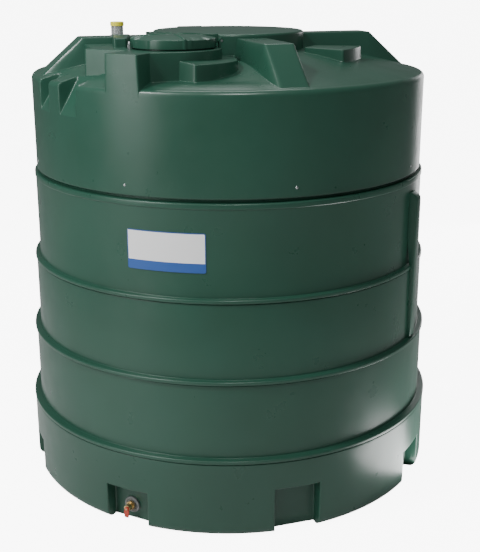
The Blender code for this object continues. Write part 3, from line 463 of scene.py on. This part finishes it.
def make_weather_cover(green):
    """The cover: roof, rim, wall and skirt as one sheet over azimuth and section, then thickened.

    Beside the buttress the sheet sinks from its own section to a straight sloping floor.
    """
    radius, share, fixed = (values[None, :] for values in cover_rows())
    edges = np.array(POCKETS)
    spans = np.degrees(notch_lines() / COVER_RADIUS)
    lines = np.concatenate([edges[:, :1] + spans, edges[:, 1:] - spans], axis=1).ravel()
    lines = np.concatenate([lines, np.array((-59.9, -59.5, -47, -46, -45, -44.3))])
    azimuth = clustered(np.arange(-180, 180, 1.5), lines, 0.25)[:, None]
    roof = roof_height(np.minimum(radius, ROOF_EDGE), azimuth)
    z = fixed + (roof - fixed) * share
    sunk = (radius >= POCKET_INNER - 1e-6) & (z >= POCKET_BOTTOM_Z - 1e-6)
    steps = np.hypot(np.diff(radius + 0 * z, axis=1), np.diff(z, axis=1)) * sunk[:, 1:]
    along = np.cumsum(np.pad(steps, ((0, 0), (1, 0))), axis=1)
    along = along - np.where(radius <= POCKET_INNER + 1e-6, along, 0).max(axis=1)[:, None]
    along = np.clip(along / along[:, -1:], 0, 1)
    inside = np.minimum(azimuth - edges[:, 0], edges[:, 1] - azimuth).max(axis=1)[:, None]
    depth = notch_depth(np.radians(inside) * COVER_RADIUS, POCKET_DEPTH) / POCKET_DEPTH
    depth = np.clip(depth * (inside > -1), 0, 1) * sunk
    floor_radius = POCKET_INNER + (COVER_RADIUS - POCKET_INNER) * along
    floor_z = POCKET_TOP_Z + (POCKET_BOTTOM_Z - POCKET_TOP_Z) * along
    radius = radius + (floor_radius - radius) * depth
    z = z + (floor_z - z) * depth
    x, y = polar(radius, azimuth)
    points = np.stack([x, y, z], axis=-1)
    faces = grid_faces(*x.shape, wrap_rows=True)
    middle = points.reshape(-1, 3)[faces].mean(axis=1)
    faces = faces[np.hypot(*(middle[:, :2] - HATCH).T) > MOUTH_CLEAR]
    nodes = [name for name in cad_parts
             if name.startswith(("cover_wall_", "roof_")) and name != "roof_turret"]
    cover = piece("weather_cover", points, faces, green, "moulded_green",
                  nodes=[*nodes, "shoulder_left"])
    if cover.data.polygons[0].normal.z < 0:
        cover.data.flip_normals()
    shell = cover.modifiers.new("Thickness", "SOLIDIFY")
    shell.thickness = WALL
    shell.offset = -1.0
    return cover


def make_turret(green):
    """The round cap over the middle of the roof, its top edge rounded."""
    top = rounded([(0, TURRET_TOP_Z), (TURRET_RADIUS, TURRET_TOP_Z),
                   (TURRET_RADIUS, TURRET_FOOT_Z)], TURRET_ROUNDING, closed=False, steps=8)
    inner = TURRET_RADIUS - WALL
    profile = np.vstack([top, [(inner, TURRET_FOOT_Z), (inner, TURRET_TOP_Z - WALL),
                               (0, TURRET_TOP_Z - WALL)]])
    return turned("roof_cap", profile, (0, 0), green, "moulded_green", steps=180,
                  nodes=["roof_turret"])


def level(height):
    """A flat top at one height."""
    return lambda x, y: height + 0 * x


def turned_plan(out, side, azimuth):
    """x and y of places some way out along an azimuth and some way to its right."""
    turn = math.radians(azimuth)
    return np.stack([out * math.sin(turn) + side * math.cos(turn),
                     side * math.sin(turn) - out * math.cos(turn)], axis=-1)


def make_rib(name, azimuth, green):
    """A rib from the cap to the rim: a long block with drafted sides and a sloping end."""
    corner = 0.014
    flat = rounded([(RIB_START, -RIB_TOP_HALF), (RIB_TOP_END, -RIB_TOP_HALF),
                    (RIB_TOP_END, RIB_TOP_HALF), (RIB_START, RIB_TOP_HALF)],
                   (0, corner, corner, 0), steps=6)
    flat = anticlockwise(resampled(flat, 120))
    at_end = np.clip((flat[:, 0] - RIB_TOP_END + corner) / corner, 0, 1)
    at_side = np.clip((np.abs(flat[:, 1]) - RIB_TOP_HALF + corner) / corner, 0, 1)
    growth = np.stack([RIB_END_SLOPE * at_end, RIB_SIDE_SLOPE * at_side * np.sign(flat[:, 1])], -1)
    path = turned_plan(flat[:, 0], flat[:, 1], azimuth)
    spread = turned_plan(growth[:, 0], growth[:, 1], azimuth)
    return raised_piece("rib_" + name + "_form", path, level(RIB_TOP_Z), green, spread=spread,
                        edge=0.006, nodes=["rib_" + name])


def plinth_outline():
    """The hatch block's edge in plan: set back at the left, with a nose and a round neck."""
    nose = NOSE_HALF
    turn = math.degrees(math.asin(nose / COVER_RADIUS))
    bow = np.array(polar(COVER_RADIUS, np.linspace(-45 - turn, -45 + turn, 9))).T
    nose_back = turned_plan(np.array([LEDGE_RADIUS, NOSE_BACK]), np.array([-nose, nose]), -45)
    neck = NECK + np.array(polar(NECK_RADIUS, np.linspace(2, 100, 25))).T
    corners = [(-0.852, -0.085), (-0.852, -0.350), (-0.909, -0.407), nose_back[0], *bow,
               nose_back[1], (-0.500, NECK[1] - NECK_RADIUS), *neck, (-0.300, -0.200),
               (-0.400, -0.085)]
    radii = [0, 0.02, 0.012, 0.010, 0.010, *[0] * (len(bow) - 2), 0.010, 0.012, 0.02,
             *[0] * len(neck), 0.02, 0.02]
    return resampled(rounded(corners, radii, steps=5), 260)


def nose_foot(x, y):
    """The roof's height, and well down the wall where the nose stands flush with it."""
    return np.where(np.hypot(x, y) > COVER_RADIUS - 0.004, NOSE_FOOT_Z, roof_surface(x, y))


def make_hatch_block(green):
    """The block under the hatch: rings from its top to its foot, closed through the mouth."""
    path = anticlockwise(plinth_outline())
    rings = raised_rings(path, outward(path) * 0.03, level(PLINTH_TOP_Z), nose_foot, 0.005, 0.005)
    reach = np.hypot(rings[..., 0], rings[..., 1])
    fall = np.clip((COVER_TOP_Z - rings[..., 2]) / (COVER_TOP_Z - NOSE_FOOT_Z), 0, 1)
    limit = COVER_RADIUS + 0.0004 - 0.004 * fall
    rings[..., :2] *= np.minimum(1, limit / reach)[..., None]
    toward = path - HATCH
    toward /= np.linalg.norm(toward, axis=1)[:, None]
    brim, bore = (HATCH + toward * size for size in (MOUTH_RADIUS + 0.004, MOUTH_RADIUS))
    mouth = [np.column_stack([ring, np.full(len(path), z)]) for ring, z in
             ((bore, MOUTH_FOOT_Z), (bore, PLINTH_TOP_Z - 0.004), (brim, PLINTH_TOP_Z))]
    points = np.concatenate([mouth, rings])
    return piece("hatch_block", points,
                 grid_faces(*points.shape[:2], wrap_rows=True, wrap_columns=True),
                 green, "moulded_green", nodes=["hatch_plinth"])


def make_coaming(green):
    """The upstand that the lid seats on, with a rounded top."""
    profile = rounded([(COAMING_RADIUS, PLINTH_TOP_Z - 0.004), (COAMING_RADIUS, COAMING_TOP_Z),
                       (MOUTH_RADIUS, COAMING_TOP_Z), (MOUTH_RADIUS, PLINTH_TOP_Z - 0.004)],
                      (0, 0.004, 0.004, 0), steps=4)
    return turned("coaming", profile, HATCH, green, "moulded_green", nodes=["hatch_coaming"])


def make_steps(green):
    """The two low steps: one round the neck, sloping away from it, and one at the front right."""
    arc = np.array(polar(HATCH_STEP_OUTER, np.linspace(*HATCH_STEP_ARC, 24))).T + NECK
    path = rounded([*arc, *HATCH_STEP_BACK], (0.012, *[0] * 22, 0.012, 0.02, 0, 0.01), steps=4)
    raised_piece("hatch_step", resampled(path, 120),
                 lambda x, y: 2.489 - 0.155 * (np.hypot(x - NECK[0], y - NECK[1]) - NECK_RADIUS),
                 green, nodes=["step_hatch"])
    arc = np.array(polar(ROOF_STEP_OUTER, np.linspace(*ROOF_STEP_ARC, 16))).T
    back = [polar(ROOF_STEP_INNER, ROOF_STEP_ARC[1]),
            polar(ROOF_STEP_INNER, ROOF_STEP_ARC[0] + ROOF_STEP_SKEW)]
    path = rounded([*arc, *back], (0.012, *[0] * 14, 0.012, 0.01, 0.01), steps=4)
    raised_piece("roof_corner_step", resampled(path, 110), level(ROOF_STEP_TOP_Z), green,
                 nodes=["step_roof"])


def make_lock_bar(green):
    """The block beside the lid that runs back to the left rib."""
    path = resampled(rounded(LOCK_BAR, 0.012), 70)
    raised_piece("lid_lock_bar", path, level(LOCK_BAR_TOP_Z), green, spread=0.02, fillet=0.004,
                 foot=level(PLINTH_TOP_Z), nodes=["lock_bar"])
    pad = rounded([(-0.475, -0.060), (-0.432, -0.060), (-0.432, 0.060), (-0.475, 0.060)], 0.006)
    raised_piece("rib_root_pad", resampled(pad, 50), level(2.583), green, spread=0.03,
                 edge=0.003, fillet=0.003, foot=level(RIB_TOP_Z))


def make_lid(green):
    """The lid: a shallow skirted dome turned about its own axis, with four ribs and four dips.

    A rib lifts a narrow band of the dome and stands out from the skirt. A dip draws the rim in
    and down over a wider band between two ribs.
    """
    azimuth = np.linspace(0, 360, 360, endpoint=False)[:, None]
    dome_radius = np.concatenate([np.linspace(0, 0.17, 12), np.linspace(0.18, LID_RIM, 10)])
    dome_z = LID_TOP_Z - LID_DOME_FALL * (dome_radius / LID_RIM) ** 3
    outer = rounded([(dome_radius[-2], dome_z[-2]), (LID_RIM, dome_z[-1]), (LID_RIM, LID_SKIRT_Z),
                     (LID_RADIUS - WALL, LID_SKIRT_Z), (LID_RADIUS - WALL, LID_SEAT_Z),
                     (MOUTH_RADIUS - WALL, LID_SEAT_Z), (LID_TOP_RADIUS - WALL, LID_UNDER_Z),
                     (0, LID_UNDER_Z)],
                    (0, 0.006, 0.002, 0.002, 0, 0, 0, 0), closed=False, steps=5)
    profile = np.vstack([np.column_stack([dome_radius, dome_z])[:-2], outer])
    radius = np.broadcast_to(profile[:, 0], (len(azimuth), len(profile)))
    z = np.broadcast_to(profile[:, 1], radius.shape)
    outside = np.arange(len(profile)) < len(dome_radius) + 10
    from_rib = (azimuth - LID_RIB_START + 45) % 90 - 45
    aside = radius * np.abs(np.radians(from_rib))
    rib = 1 - smooth(aside, 0.006, 0.010)
    dip = 1 - smooth(np.abs((azimuth - LID_DIP_MIDDLE + 45) % 90 - 45), 12.0, 18.0)
    near_rim = smooth(radius, 0.15, LID_RIM - 0.004) * outside
    on_dome = (profile[:, 1] > dome_z[-1] - 0.002) * outside
    reach = smooth(radius, 0.020, 0.035)
    z = z + (0.006 * rib * reach - LID_DIP * dip * near_rim) * on_dome
    radius = radius + (LID_RADIUS - LID_RIM) * rib * near_rim - 0.003 * dip * near_rim
    x, y = polar(radius, azimuth)
    points = np.stack([x + HATCH[0], y + HATCH[1], z], axis=-1)
    piece("lid_dish", points, grid_faces(*x.shape, wrap_rows=True), green, "moulded_green",
          body="lid", nodes=["hatch_lid"])


def make_lid_hinge(green):
    """The lid's knuckle, bored for the pin, and the rounded lug that joins it to the dish."""
    turn = np.linspace(0, math.tau, 40, endpoint=False)[:, None]
    across = np.array((-1, -1, 1, 1)) * KNUCKLE_HALF
    size = np.array((KNUCKLE_BORE, KNUCKLE_RADIUS, KNUCKLE_RADIUS, KNUCKLE_BORE))
    points = np.stack([HINGE[0] + size * np.cos(turn), HINGE[1] + across + 0 * turn,
                       HINGE[2] + size * np.sin(turn)], axis=-1)
    piece("lid_knuckle", points, grid_faces(40, 4, wrap_rows=True, wrap_columns=True),
          green, "moulded_green", body="lid")
    left, right = HINGE[0] + LUG_REACH[0], HINGE[0] + LUG_REACH[1]
    low, high = HINGE[1] - KNUCKLE_HALF, HINGE[1] + KNUCKLE_HALF
    lug = rounded([(left, low), (right, low), (right, high), (left, high)], 0.006)
    raised_piece("lid_lug", resampled(lug, 60), level(LUG_TOP_Z), green, spread=0.0, edge=0.004,
                 fillet=0.0, foot=level(HINGE[2]), body="lid")


def make_gauge(clear, yellow, steel):
    """The gauge's ribbed cap and the rod inside its clear tube."""
    low, high = (np.array(corner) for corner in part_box("gauge_cap"))
    size = (high[0] - low[0]) / 2
    profile = rounded([(0, high[2]), (size, high[2]), (size, low[2]), (0, low[2])],
                      (0, 0.005, 0.002, 0), closed=False, steps=5)
    azimuth = np.linspace(0, 360, 288, endpoint=False)[:, None]
    ribbed = (profile[:, 0] > size - 0.0001) * 0.0012
    radius = profile[:, 0] - ribbed * smooth(np.cos(np.radians(azimuth * 24)), -0.2, 0.6)
    x, y = polar(radius, azimuth)
    points = np.stack([x + GAUGE_X, y, profile[:, 1] + 0 * x], axis=-1)
    piece("gauge_ribbed_cap", points, grid_faces(*x.shape, wrap_rows=True), yellow,
          "yellow_plastic", nodes=["gauge_cap"])
    rod = rounded([(0, low[2]), (0.004, low[2]), (0.004, RIB_TOP_Z), (0, RIB_TOP_Z)], 0,
                  closed=False)
    turned("gauge_rod", rod, (GAUGE_X, 0), steel, "bare_steel", steps=24)
    collar = rounded([(0.0345, RIB_TOP_Z - 0.002), (0.044, RIB_TOP_Z - 0.002),
                      (0.042, RIB_TOP_Z + 0.006), (0.0345, RIB_TOP_Z + 0.007)],
                     (0, 0, 0.002, 0.001))
    turned("gauge_collar", collar, (GAUGE_X, 0), clear, "clear_plastic", steps=64)


def make_staple(steel):
    """A flat bar bent to an arch on the block: its section carried along the arch."""
    low, high = (np.array(corner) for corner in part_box("lock_staple"))
    middle = (low + high) / 2
    half = (high[1] - low[1]) / 2 - 0.004
    arch = rounded([(-half, low[2] - middle[2]), (-half, high[2] - 0.004 - middle[2]),
                    (half, high[2] - 0.004 - middle[2]), (half, low[2] - middle[2])],
                   (0, half * 0.95, half * 0.95, 0), closed=False, steps=10)
    along = np.gradient(arch, axis=0)
    along /= np.linalg.norm(along, axis=1)[:, None]
    normal = np.stack([-along[:, 1], along[:, 0]], axis=-1)
    section = rounded([(-0.0035, -0.004), (0.0035, -0.004), (0.0035, 0.004), (-0.0035, 0.004)],
                      0.0015, steps=3)
    points = np.empty((len(arch), len(section), 3))
    points[..., 0] = middle[0] + section[None, :, 0]
    points[..., 1] = middle[1] + arch[:, None, 0] + normal[:, None, 0] * section[None, :, 1]
    points[..., 2] = middle[2] + arch[:, None, 1] + normal[:, None, 1] * section[None, :, 1]
    count = len(section)
    last = (len(arch) - 1) * count
    faces = [*grid_faces(len(arch), count, wrap_columns=True).tolist(),
             list(range(count)), list(range(last, last + count))]
    piece("staple_arch", points, faces, steel, "bare_steel", nodes=["lock_staple"])


def make_channel(green):
    """The upright strip: a bevelled flat section carried up the wall, shrinking at its top."""
    azimuth = 45.0
    z = np.array((0.8895, 0.900, 1.10, 1.2985, 1.312, 1.328, 1.50, 1.700, 1.715, 1.728, 1.741))
    face = np.array((1.180, 1.1865, 1.1868, 1.1868, 1.1868, 1.1868, 1.1868, 1.1868, 1.184, 1.172,
                     1.150))
    foot = np.where(z < 1.33, 1.158, 1.135)
    left, right = (1.189 * math.tan(math.radians(turn)) for turn in (-1.1, 2.4))
    share = np.array((0, 0, 0.35, 0.8, 1, 1, 0.8, 0.35, 0, 0))
    side = np.array((0, 0, 0.001, 0.004, 0.008, -0.008, -0.004, -0.001, 0, 0))
    edge = np.array((left,) * 5 + (right,) * 5)
    drop = np.array((1, 0.010, 0.004, 0.001, 0, 0, 0.001, 0.004, 0.010, 1))
    out = np.where(drop == 1, foot[:, None], face[:, None] - drop)
    across = edge + side + 0 * z[:, None] * share
    flat = turned_plan(out, across, azimuth)
    points = np.concatenate([flat, (z[:, None] + 0 * out)[..., None]], axis=-1)
    count = len(edge)
    last = (len(z) - 1) * count
    faces = [*grid_faces(len(z), count, wrap_columns=True).tolist(),
             list(range(count)), list(range(last, last + count))]
    piece("wall_strip", points, faces, green, "moulded_green", nodes=["wall_channel"])


def make_plate(white, blue):
    """The bare plate bent round the upper band: rings of a rounded outline, drawn to its middle."""
    start, end = -44.3, -23.2
    low, high = (corner[2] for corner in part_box("front_plate"))
    front = UPPER_RADIUS + 0.003
    half = math.radians(end - start) * front / 2
    tall = (high - low) / 2
    outline = resampled(rounded([(-half, -tall), (half, -tall), (half, tall), (-half, tall)],
                                0.010, steps=5), 160)
    inner = anticlockwise(outline) - outward(anticlockwise(outline)) * 0.0045
    rings = [anticlockwise(outline), anticlockwise(outline), inner,
             *[inner * size for size in np.linspace(0.9, 0.0, 10)]]
    depth = [UPPER_RADIUS - 0.001, front, *[front] * 11]
    flat = np.array(rings)
    azimuth = (start + end) / 2 + np.degrees(flat[..., 0] / front)
    x, y = polar(np.array(depth)[:, None], azimuth)
    points = np.stack([x, y, (low + high) / 2 + flat[..., 1]], axis=-1)
    count = points.shape[1]
    faces = [*grid_faces(*points.shape[:2], wrap_columns=True).tolist(), list(range(count))]
    made = piece("front_bare_plate", points, faces, white, "white_plate", nodes=["front_plate"])
    made.data.materials.append(blue)
    centres = np.empty(len(made.data.polygons) * 3)
    made.data.polygons.foreach_get("center", centres)
    centres = centres.reshape(-1, 3)
    turn = np.degrees(np.arctan2(centres[:, 0], -centres[:, 1])) - (start + end) / 2
    aside = np.abs(np.radians(turn) * front) > half - 0.0045
    above = np.abs(centres[:, 2] - (low + high) / 2) > tall - 0.0045
    made.data.polygons.foreach_set("material_index", (aside | above).astype(np.int32))
    return made


def make_outlet(grey, red):
    """The collar round the outlet, with a sunk face, and the lever as a paddle on its stem.

    The collar is a profile turned about the outlet's axis. The lever is a rounded outline held
    between a back face and a front face, both drawn in by its edge rounding.
    """
    side = math.tan(math.radians(VALVE_TURN)) * SLOT_BACK
    middle = (*turned_plan(SLOT_BACK, side, SLOT_AZIMUTH), VALVE_Z)
    collar = rounded([(0, 0.0), (COLLAR_RADIUS, 0.0), (COLLAR_RADIUS, COLLAR_DEPTH),
                      (0.036, COLLAR_DEPTH), (0.032, 0.007), (0, 0.007)],
                     (0, 0, 0.004, 0.002, 0.002, 0), closed=False, steps=4)
    cylinder_about("outlet_ring", collar, middle, SLOT_AZIMUTH, grey, "grey_plastic", steps=72,
                   nodes=["outlet_collar"])
    path = rounded(LEVER_OUTLINE, 0.009, steps=6)
    path = anticlockwise(path)
    edge = 0.0016
    rows = ((edge, LEVER_OUT[0]), (0.0, LEVER_OUT[0] + edge), (0.0, LEVER_OUT[1] - edge),
            (edge, LEVER_OUT[1]))
    flat = np.array([path - outward(path) * inset for inset, _ in rows])
    out = np.array([out for _, out in rows])[:, None] + 0 * flat[..., 0]
    plan = turned_plan(out, side + flat[..., 0], SLOT_AZIMUTH)
    points = np.concatenate([plan, (VALVE_Z + flat[..., 1])[..., None]], axis=-1)
    count = len(path)
    faces = [*grid_faces(len(rows), count, wrap_columns=True).tolist(),
             list(range(count)), list(range(3 * count, 4 * count))]
    piece("lever_paddle", points, faces, red, "red_plastic", body="lever",
          nodes=["valve_lever"])


def make_screws(steel):
    """Eight small domed screw heads on the cover's foot, one dome moved to eight azimuths."""
    share = np.linspace(0, math.pi / 2, 6)
    size, rise = 0.0075 * np.sin(share), 0.004 * np.cos(share)
    turn = np.linspace(0, math.tau, 20, endpoint=False)
    azimuth = np.arange(SLOT_COUNT) * 45.0
    out = COVER_RADIUS - 0.0005 + rise[None, None, :] + 0 * turn[None, :, None]
    side = size[None, None, :] * np.cos(turn)[None, :, None]
    z = 1.8865 + size[None, None, :] * np.sin(turn)[None, :, None]
    angle = np.radians(azimuth)[:, None, None]
    points = np.stack(np.broadcast_arrays(out * np.sin(angle) + side * np.cos(angle),
                                          side * np.sin(angle) - out * np.cos(angle), z), axis=-1)
    cells = grid_faces(len(turn), len(share), wrap_rows=True)
    per_screw = len(turn) * len(share)
    faces = [(cells + index * per_screw).tolist() for index in range(SLOT_COUNT)]
    rims = [[index * per_screw + step * len(share) + len(share) - 1 for step in range(len(turn))]
            for index in range(SLOT_COUNT)]
    piece("cover_screws", points, [*sum(faces, []), *rims], steel, "bare_steel")


def add_node(tree, kind, values=None, **settings):
    """A shader node with its settings and socket values."""
    made = tree.nodes.new(kind)
    for key, value in settings.items():
        setattr(made, key, value)
    for key, value in (values or {}).items():
        made.inputs[key].default_value = value
    return made


def moulded_finish(name, light, dark, roughness, grain=420.0, bump=0.05, metallic=0.0,
                   cloud=1.6, relief=0.0004):
    """A finish on Object coordinates: slow clouds of two tones, and a fine grain in the bump.

    The roughness drifts with a third noise between two values.
    """
    material = bpy.data.materials.new(name)
    material.use_nodes = True
    tree = material.node_tree
    shader = tree.nodes["Principled BSDF"]
    shader.inputs["Metallic"].default_value = metallic
    place = add_node(tree, "ShaderNodeTexCoord")
    clouds = add_node(tree, "ShaderNodeTexNoise", {"Scale": cloud, "Detail": 4.0})
    speck = add_node(tree, "ShaderNodeTexNoise", {"Scale": grain, "Detail": 3.0})
    drift = add_node(tree, "ShaderNodeTexNoise", {"Scale": cloud * 5, "Detail": 5.0})
    tone = add_node(tree, "ShaderNodeMapRange", {"From Min": 0.3, "From Max": 0.7})
    mix = add_node(tree, "ShaderNodeMix", data_type="RGBA")
    mix.inputs["A"].default_value = (*dark, 1.0)
    mix.inputs["B"].default_value = (*light, 1.0)
    rough = add_node(tree, "ShaderNodeMapRange", {
        "From Min": 0.3, "From Max": 0.7, "To Min": roughness[0], "To Max": roughness[1]})
    height = add_node(tree, "ShaderNodeBump", {"Strength": bump, "Distance": relief})
    for noise in (clouds, speck, drift):
        tree.links.new(place.outputs["Object"], noise.inputs["Vector"])
    tree.links.new(clouds.outputs["Fac"], tone.inputs["Value"])
    tree.links.new(tone.outputs["Result"], mix.inputs["Factor"])
    tree.links.new(mix.outputs["Result"], shader.inputs["Base Color"])
    tree.links.new(drift.outputs["Fac"], rough.inputs["Value"])
    tree.links.new(rough.outputs["Result"], shader.inputs["Roughness"])
    tree.links.new(speck.outputs["Fac"], height.inputs["Height"])
    tree.links.new(height.outputs["Normal"], shader.inputs["Normal"])
    return material


def plate_finish(white, blue, split):
    """The plate's finish: white above a height and blue below it, both with the fine grain."""
    material = moulded_finish("plate_white", white, tuple(0.97 * part for part in white),
                              (0.30, 0.42), bump=0.03)
    tree = material.node_tree
    shader = tree.nodes["Principled BSDF"]
    clean = shader.inputs["Base Color"].links[0].from_socket
    place = add_node(tree, "ShaderNodeTexCoord")
    axes = add_node(tree, "ShaderNodeSeparateXYZ")
    above = add_node(tree, "ShaderNodeMath", {1: split}, operation="GREATER_THAN")
    mix = add_node(tree, "ShaderNodeMix", data_type="RGBA")
    mix.inputs["A"].default_value = (*blue, 1.0)
    tree.links.new(place.outputs["Object"], axes.inputs["Vector"])
    tree.links.new(axes.outputs["Z"], above.inputs[0])
    tree.links.new(above.outputs["Value"], mix.inputs["Factor"])
    tree.links.new(clean, mix.inputs["B"])
    tree.links.new(mix.outputs["Result"], shader.inputs["Base Color"])
    return material


def clear_finish():
    """Clear plastic: almost all light passes, with a faint haze in the roughness and the bump."""
    material = moulded_finish("gauge_clear", (0.86, 0.88, 0.88), (0.80, 0.83, 0.83),
                              (0.08, 0.16), bump=0.02)
    shader = material.node_tree.nodes["Principled BSDF"]
    shader.inputs["Transmission Weight"].default_value = 0.75
    shader.inputs["IOR"].default_value = 1.45
    return material


def dress(material, *names):
    """Gives CAD nodes a finish through their objects' material slots."""
    for name in names:
        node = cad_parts[name]
        if not node.material_slots:
            node.data.materials.append(material)
        for place in node.material_slots:
            place.link = "OBJECT"
            place.material = material


def make_camera():
    """The photograph's view: its place, its turn and its lens."""
    lens = bpy.data.cameras.new("view")
    lens.lens = 64.38
    lens.sensor_width = 36.0
    camera = bpy.data.objects.new("view", lens)
    camera.location = (-1.760, -5.617, 2.926)
    camera.rotation_euler = [math.radians(turn) for turn in (72.697, 0.072, -18.078)]
    bpy.context.scene.collection.objects.link(camera)
    bpy.context.scene.camera = camera


def soft_light(name, place, aim, size, power, tint=(1.0, 1.0, 1.0)):
    """A rectangular light at a place, turned to face an aim."""
    lamp = bpy.data.lights.new(name, "AREA")
    lamp.shape = "RECTANGLE"
    lamp.size, lamp.size_y = size
    lamp.energy = power
    lamp.color = tint
    holder = bpy.data.objects.new(name, lamp)
    holder.location = place
    holder.visible_camera = False
    aim = Vector(aim) - Vector(place)
    holder.rotation_euler = aim.to_track_quat("-Z", "Y").to_euler()
    bpy.context.scene.collection.objects.link(holder)


def make_studio():
    """White surroundings, a pale floor out to the horizon, and soft lights round the tank."""
    world = bpy.data.worlds.new("studio")
    world.use_nodes = True
    tree = world.node_tree
    sky = tree.nodes["Background"]
    sky.inputs["Color"].default_value = (0.97, 0.985, 1.0, 1.0)
    seen = add_node(tree, "ShaderNodeLightPath")
    glow = add_node(tree, "ShaderNodeMapRange", {"To Min": SKY_LIGHT, "To Max": BACKDROP})
    tree.links.new(seen.outputs["Is Camera Ray"], glow.inputs["Value"])
    tree.links.new(glow.outputs["Result"], sky.inputs["Strength"])
    bpy.context.scene.world = world
    mesh = bpy.data.meshes.new("floor")
    reach = 400.0
    mesh.from_pydata([(-reach, -reach, 0), (reach, -reach, 0), (reach, reach, 0),
                      (-reach, reach, 0)], [], [(0, 1, 2, 3)])
    floor = bpy.data.objects.new("floor", mesh)
    bpy.context.scene.collection.objects.link(floor)
    paint = bpy.data.materials.new("floor")
    paint.use_nodes = True
    shader = paint.node_tree.nodes["Principled BSDF"]
    shader.inputs["Base Color"].default_value = (0.9, 0.9, 0.9, 1.0)
    shader.inputs["Roughness"].default_value = 0.9
    shader.inputs["Emission Color"].default_value = (1.0, 1.0, 1.0, 1.0)
    tree = paint.node_tree
    seen = add_node(tree, "ShaderNodeLightPath")
    glow = add_node(tree, "ShaderNodeMapRange", {"To Min": 0.0, "To Max": BACKDROP})
    tree.links.new(seen.outputs["Is Camera Ray"], glow.inputs["Value"])
    tree.links.new(glow.outputs["Result"], shader.inputs["Emission Strength"])
    mesh.materials.append(paint)
    soft_light("left", (-6.0, -2.4, 3.4), (0, 0, 1.4), (3.0, 4.5), 170.0)
    soft_light("key", (-4.0, -1.6, 6.4), (0, 0, 1.6), (0.8, 0.8), 200.0)
    soft_light("above", (-0.8, -3.6, 6.8), (0, -0.5, 1.4), (0.8, 0.8), 130.0)
    soft_light("behind", (0.4, 3.6, 8.4), (0, 0, 2.3), (5.0, 1.4), 160.0)
    soft_light("right", (5.0, 3.6, 1.8), (0, 0, 1.2), (1.6, 3.6), 60.0)
    soft_light("floor_glow", (1.36, -1.16, 0.02), (1.36, -1.16, 3.0), (0.95, 0.75), 20.0)


def main():
    green = moulded_finish("green_polyethylene", (0.024, 0.088, 0.058), (0.019, 0.072, 0.046),
                           (0.27, 0.35))
    clear = clear_finish()
    yellow = moulded_finish("cap_yellow", (0.94, 0.86, 0.08), (0.88, 0.78, 0.05), (0.34, 0.46),
                            bump=0.05)
    steel = moulded_finish("zinc_steel", (0.62, 0.63, 0.64), (0.50, 0.51, 0.52), (0.26, 0.42),
                           grain=900.0, bump=0.08, metallic=1.0, cloud=30.0)
    grey = moulded_finish("collar_grey", (0.24, 0.25, 0.25), (0.19, 0.20, 0.20), (0.40, 0.52))
    brass = moulded_finish("brass", (0.76, 0.60, 0.32), (0.62, 0.46, 0.22), (0.24, 0.38),
                           grain=1200.0, bump=0.10, metallic=1.0, cloud=40.0)
    red = moulded_finish("lever_red", (0.58, 0.075, 0.040), (0.50, 0.055, 0.030), (0.34, 0.48),
                         bump=0.06)
    blue = moulded_finish("plate_blue", (0.025, 0.10, 0.36), (0.020, 0.085, 0.32), (0.30, 0.42),
                          bump=0.03)
    white = plate_finish((0.95, 0.955, 0.96), (0.025, 0.10, 0.36), 1.510)
    make_camera()
    make_studio()
    make_bund(green)
    make_weather_cover(green)
    make_turret(green)
    for name, azimuth in RIB_AZIMUTHS.items():
        make_rib(name, azimuth, green)
    make_hatch_block(green)
    make_coaming(green)
    make_steps(green)
    make_lock_bar(green)
    make_lid(green)
    make_lid_hinge(green)
    make_gauge(clear, yellow, steel)
    make_staple(steel)
    make_channel(green)
    make_plate(white, blue)
    make_outlet(grey, red)
    make_screws(steel)
    dress(green, "bund_floor", "hinge_bracket_front", "hinge_bracket_rear")
    dress(steel, "hinge_pin")
    dress(clear, "gauge_tube")
    dress(brass, "outlet_nut", "valve_body")


main()
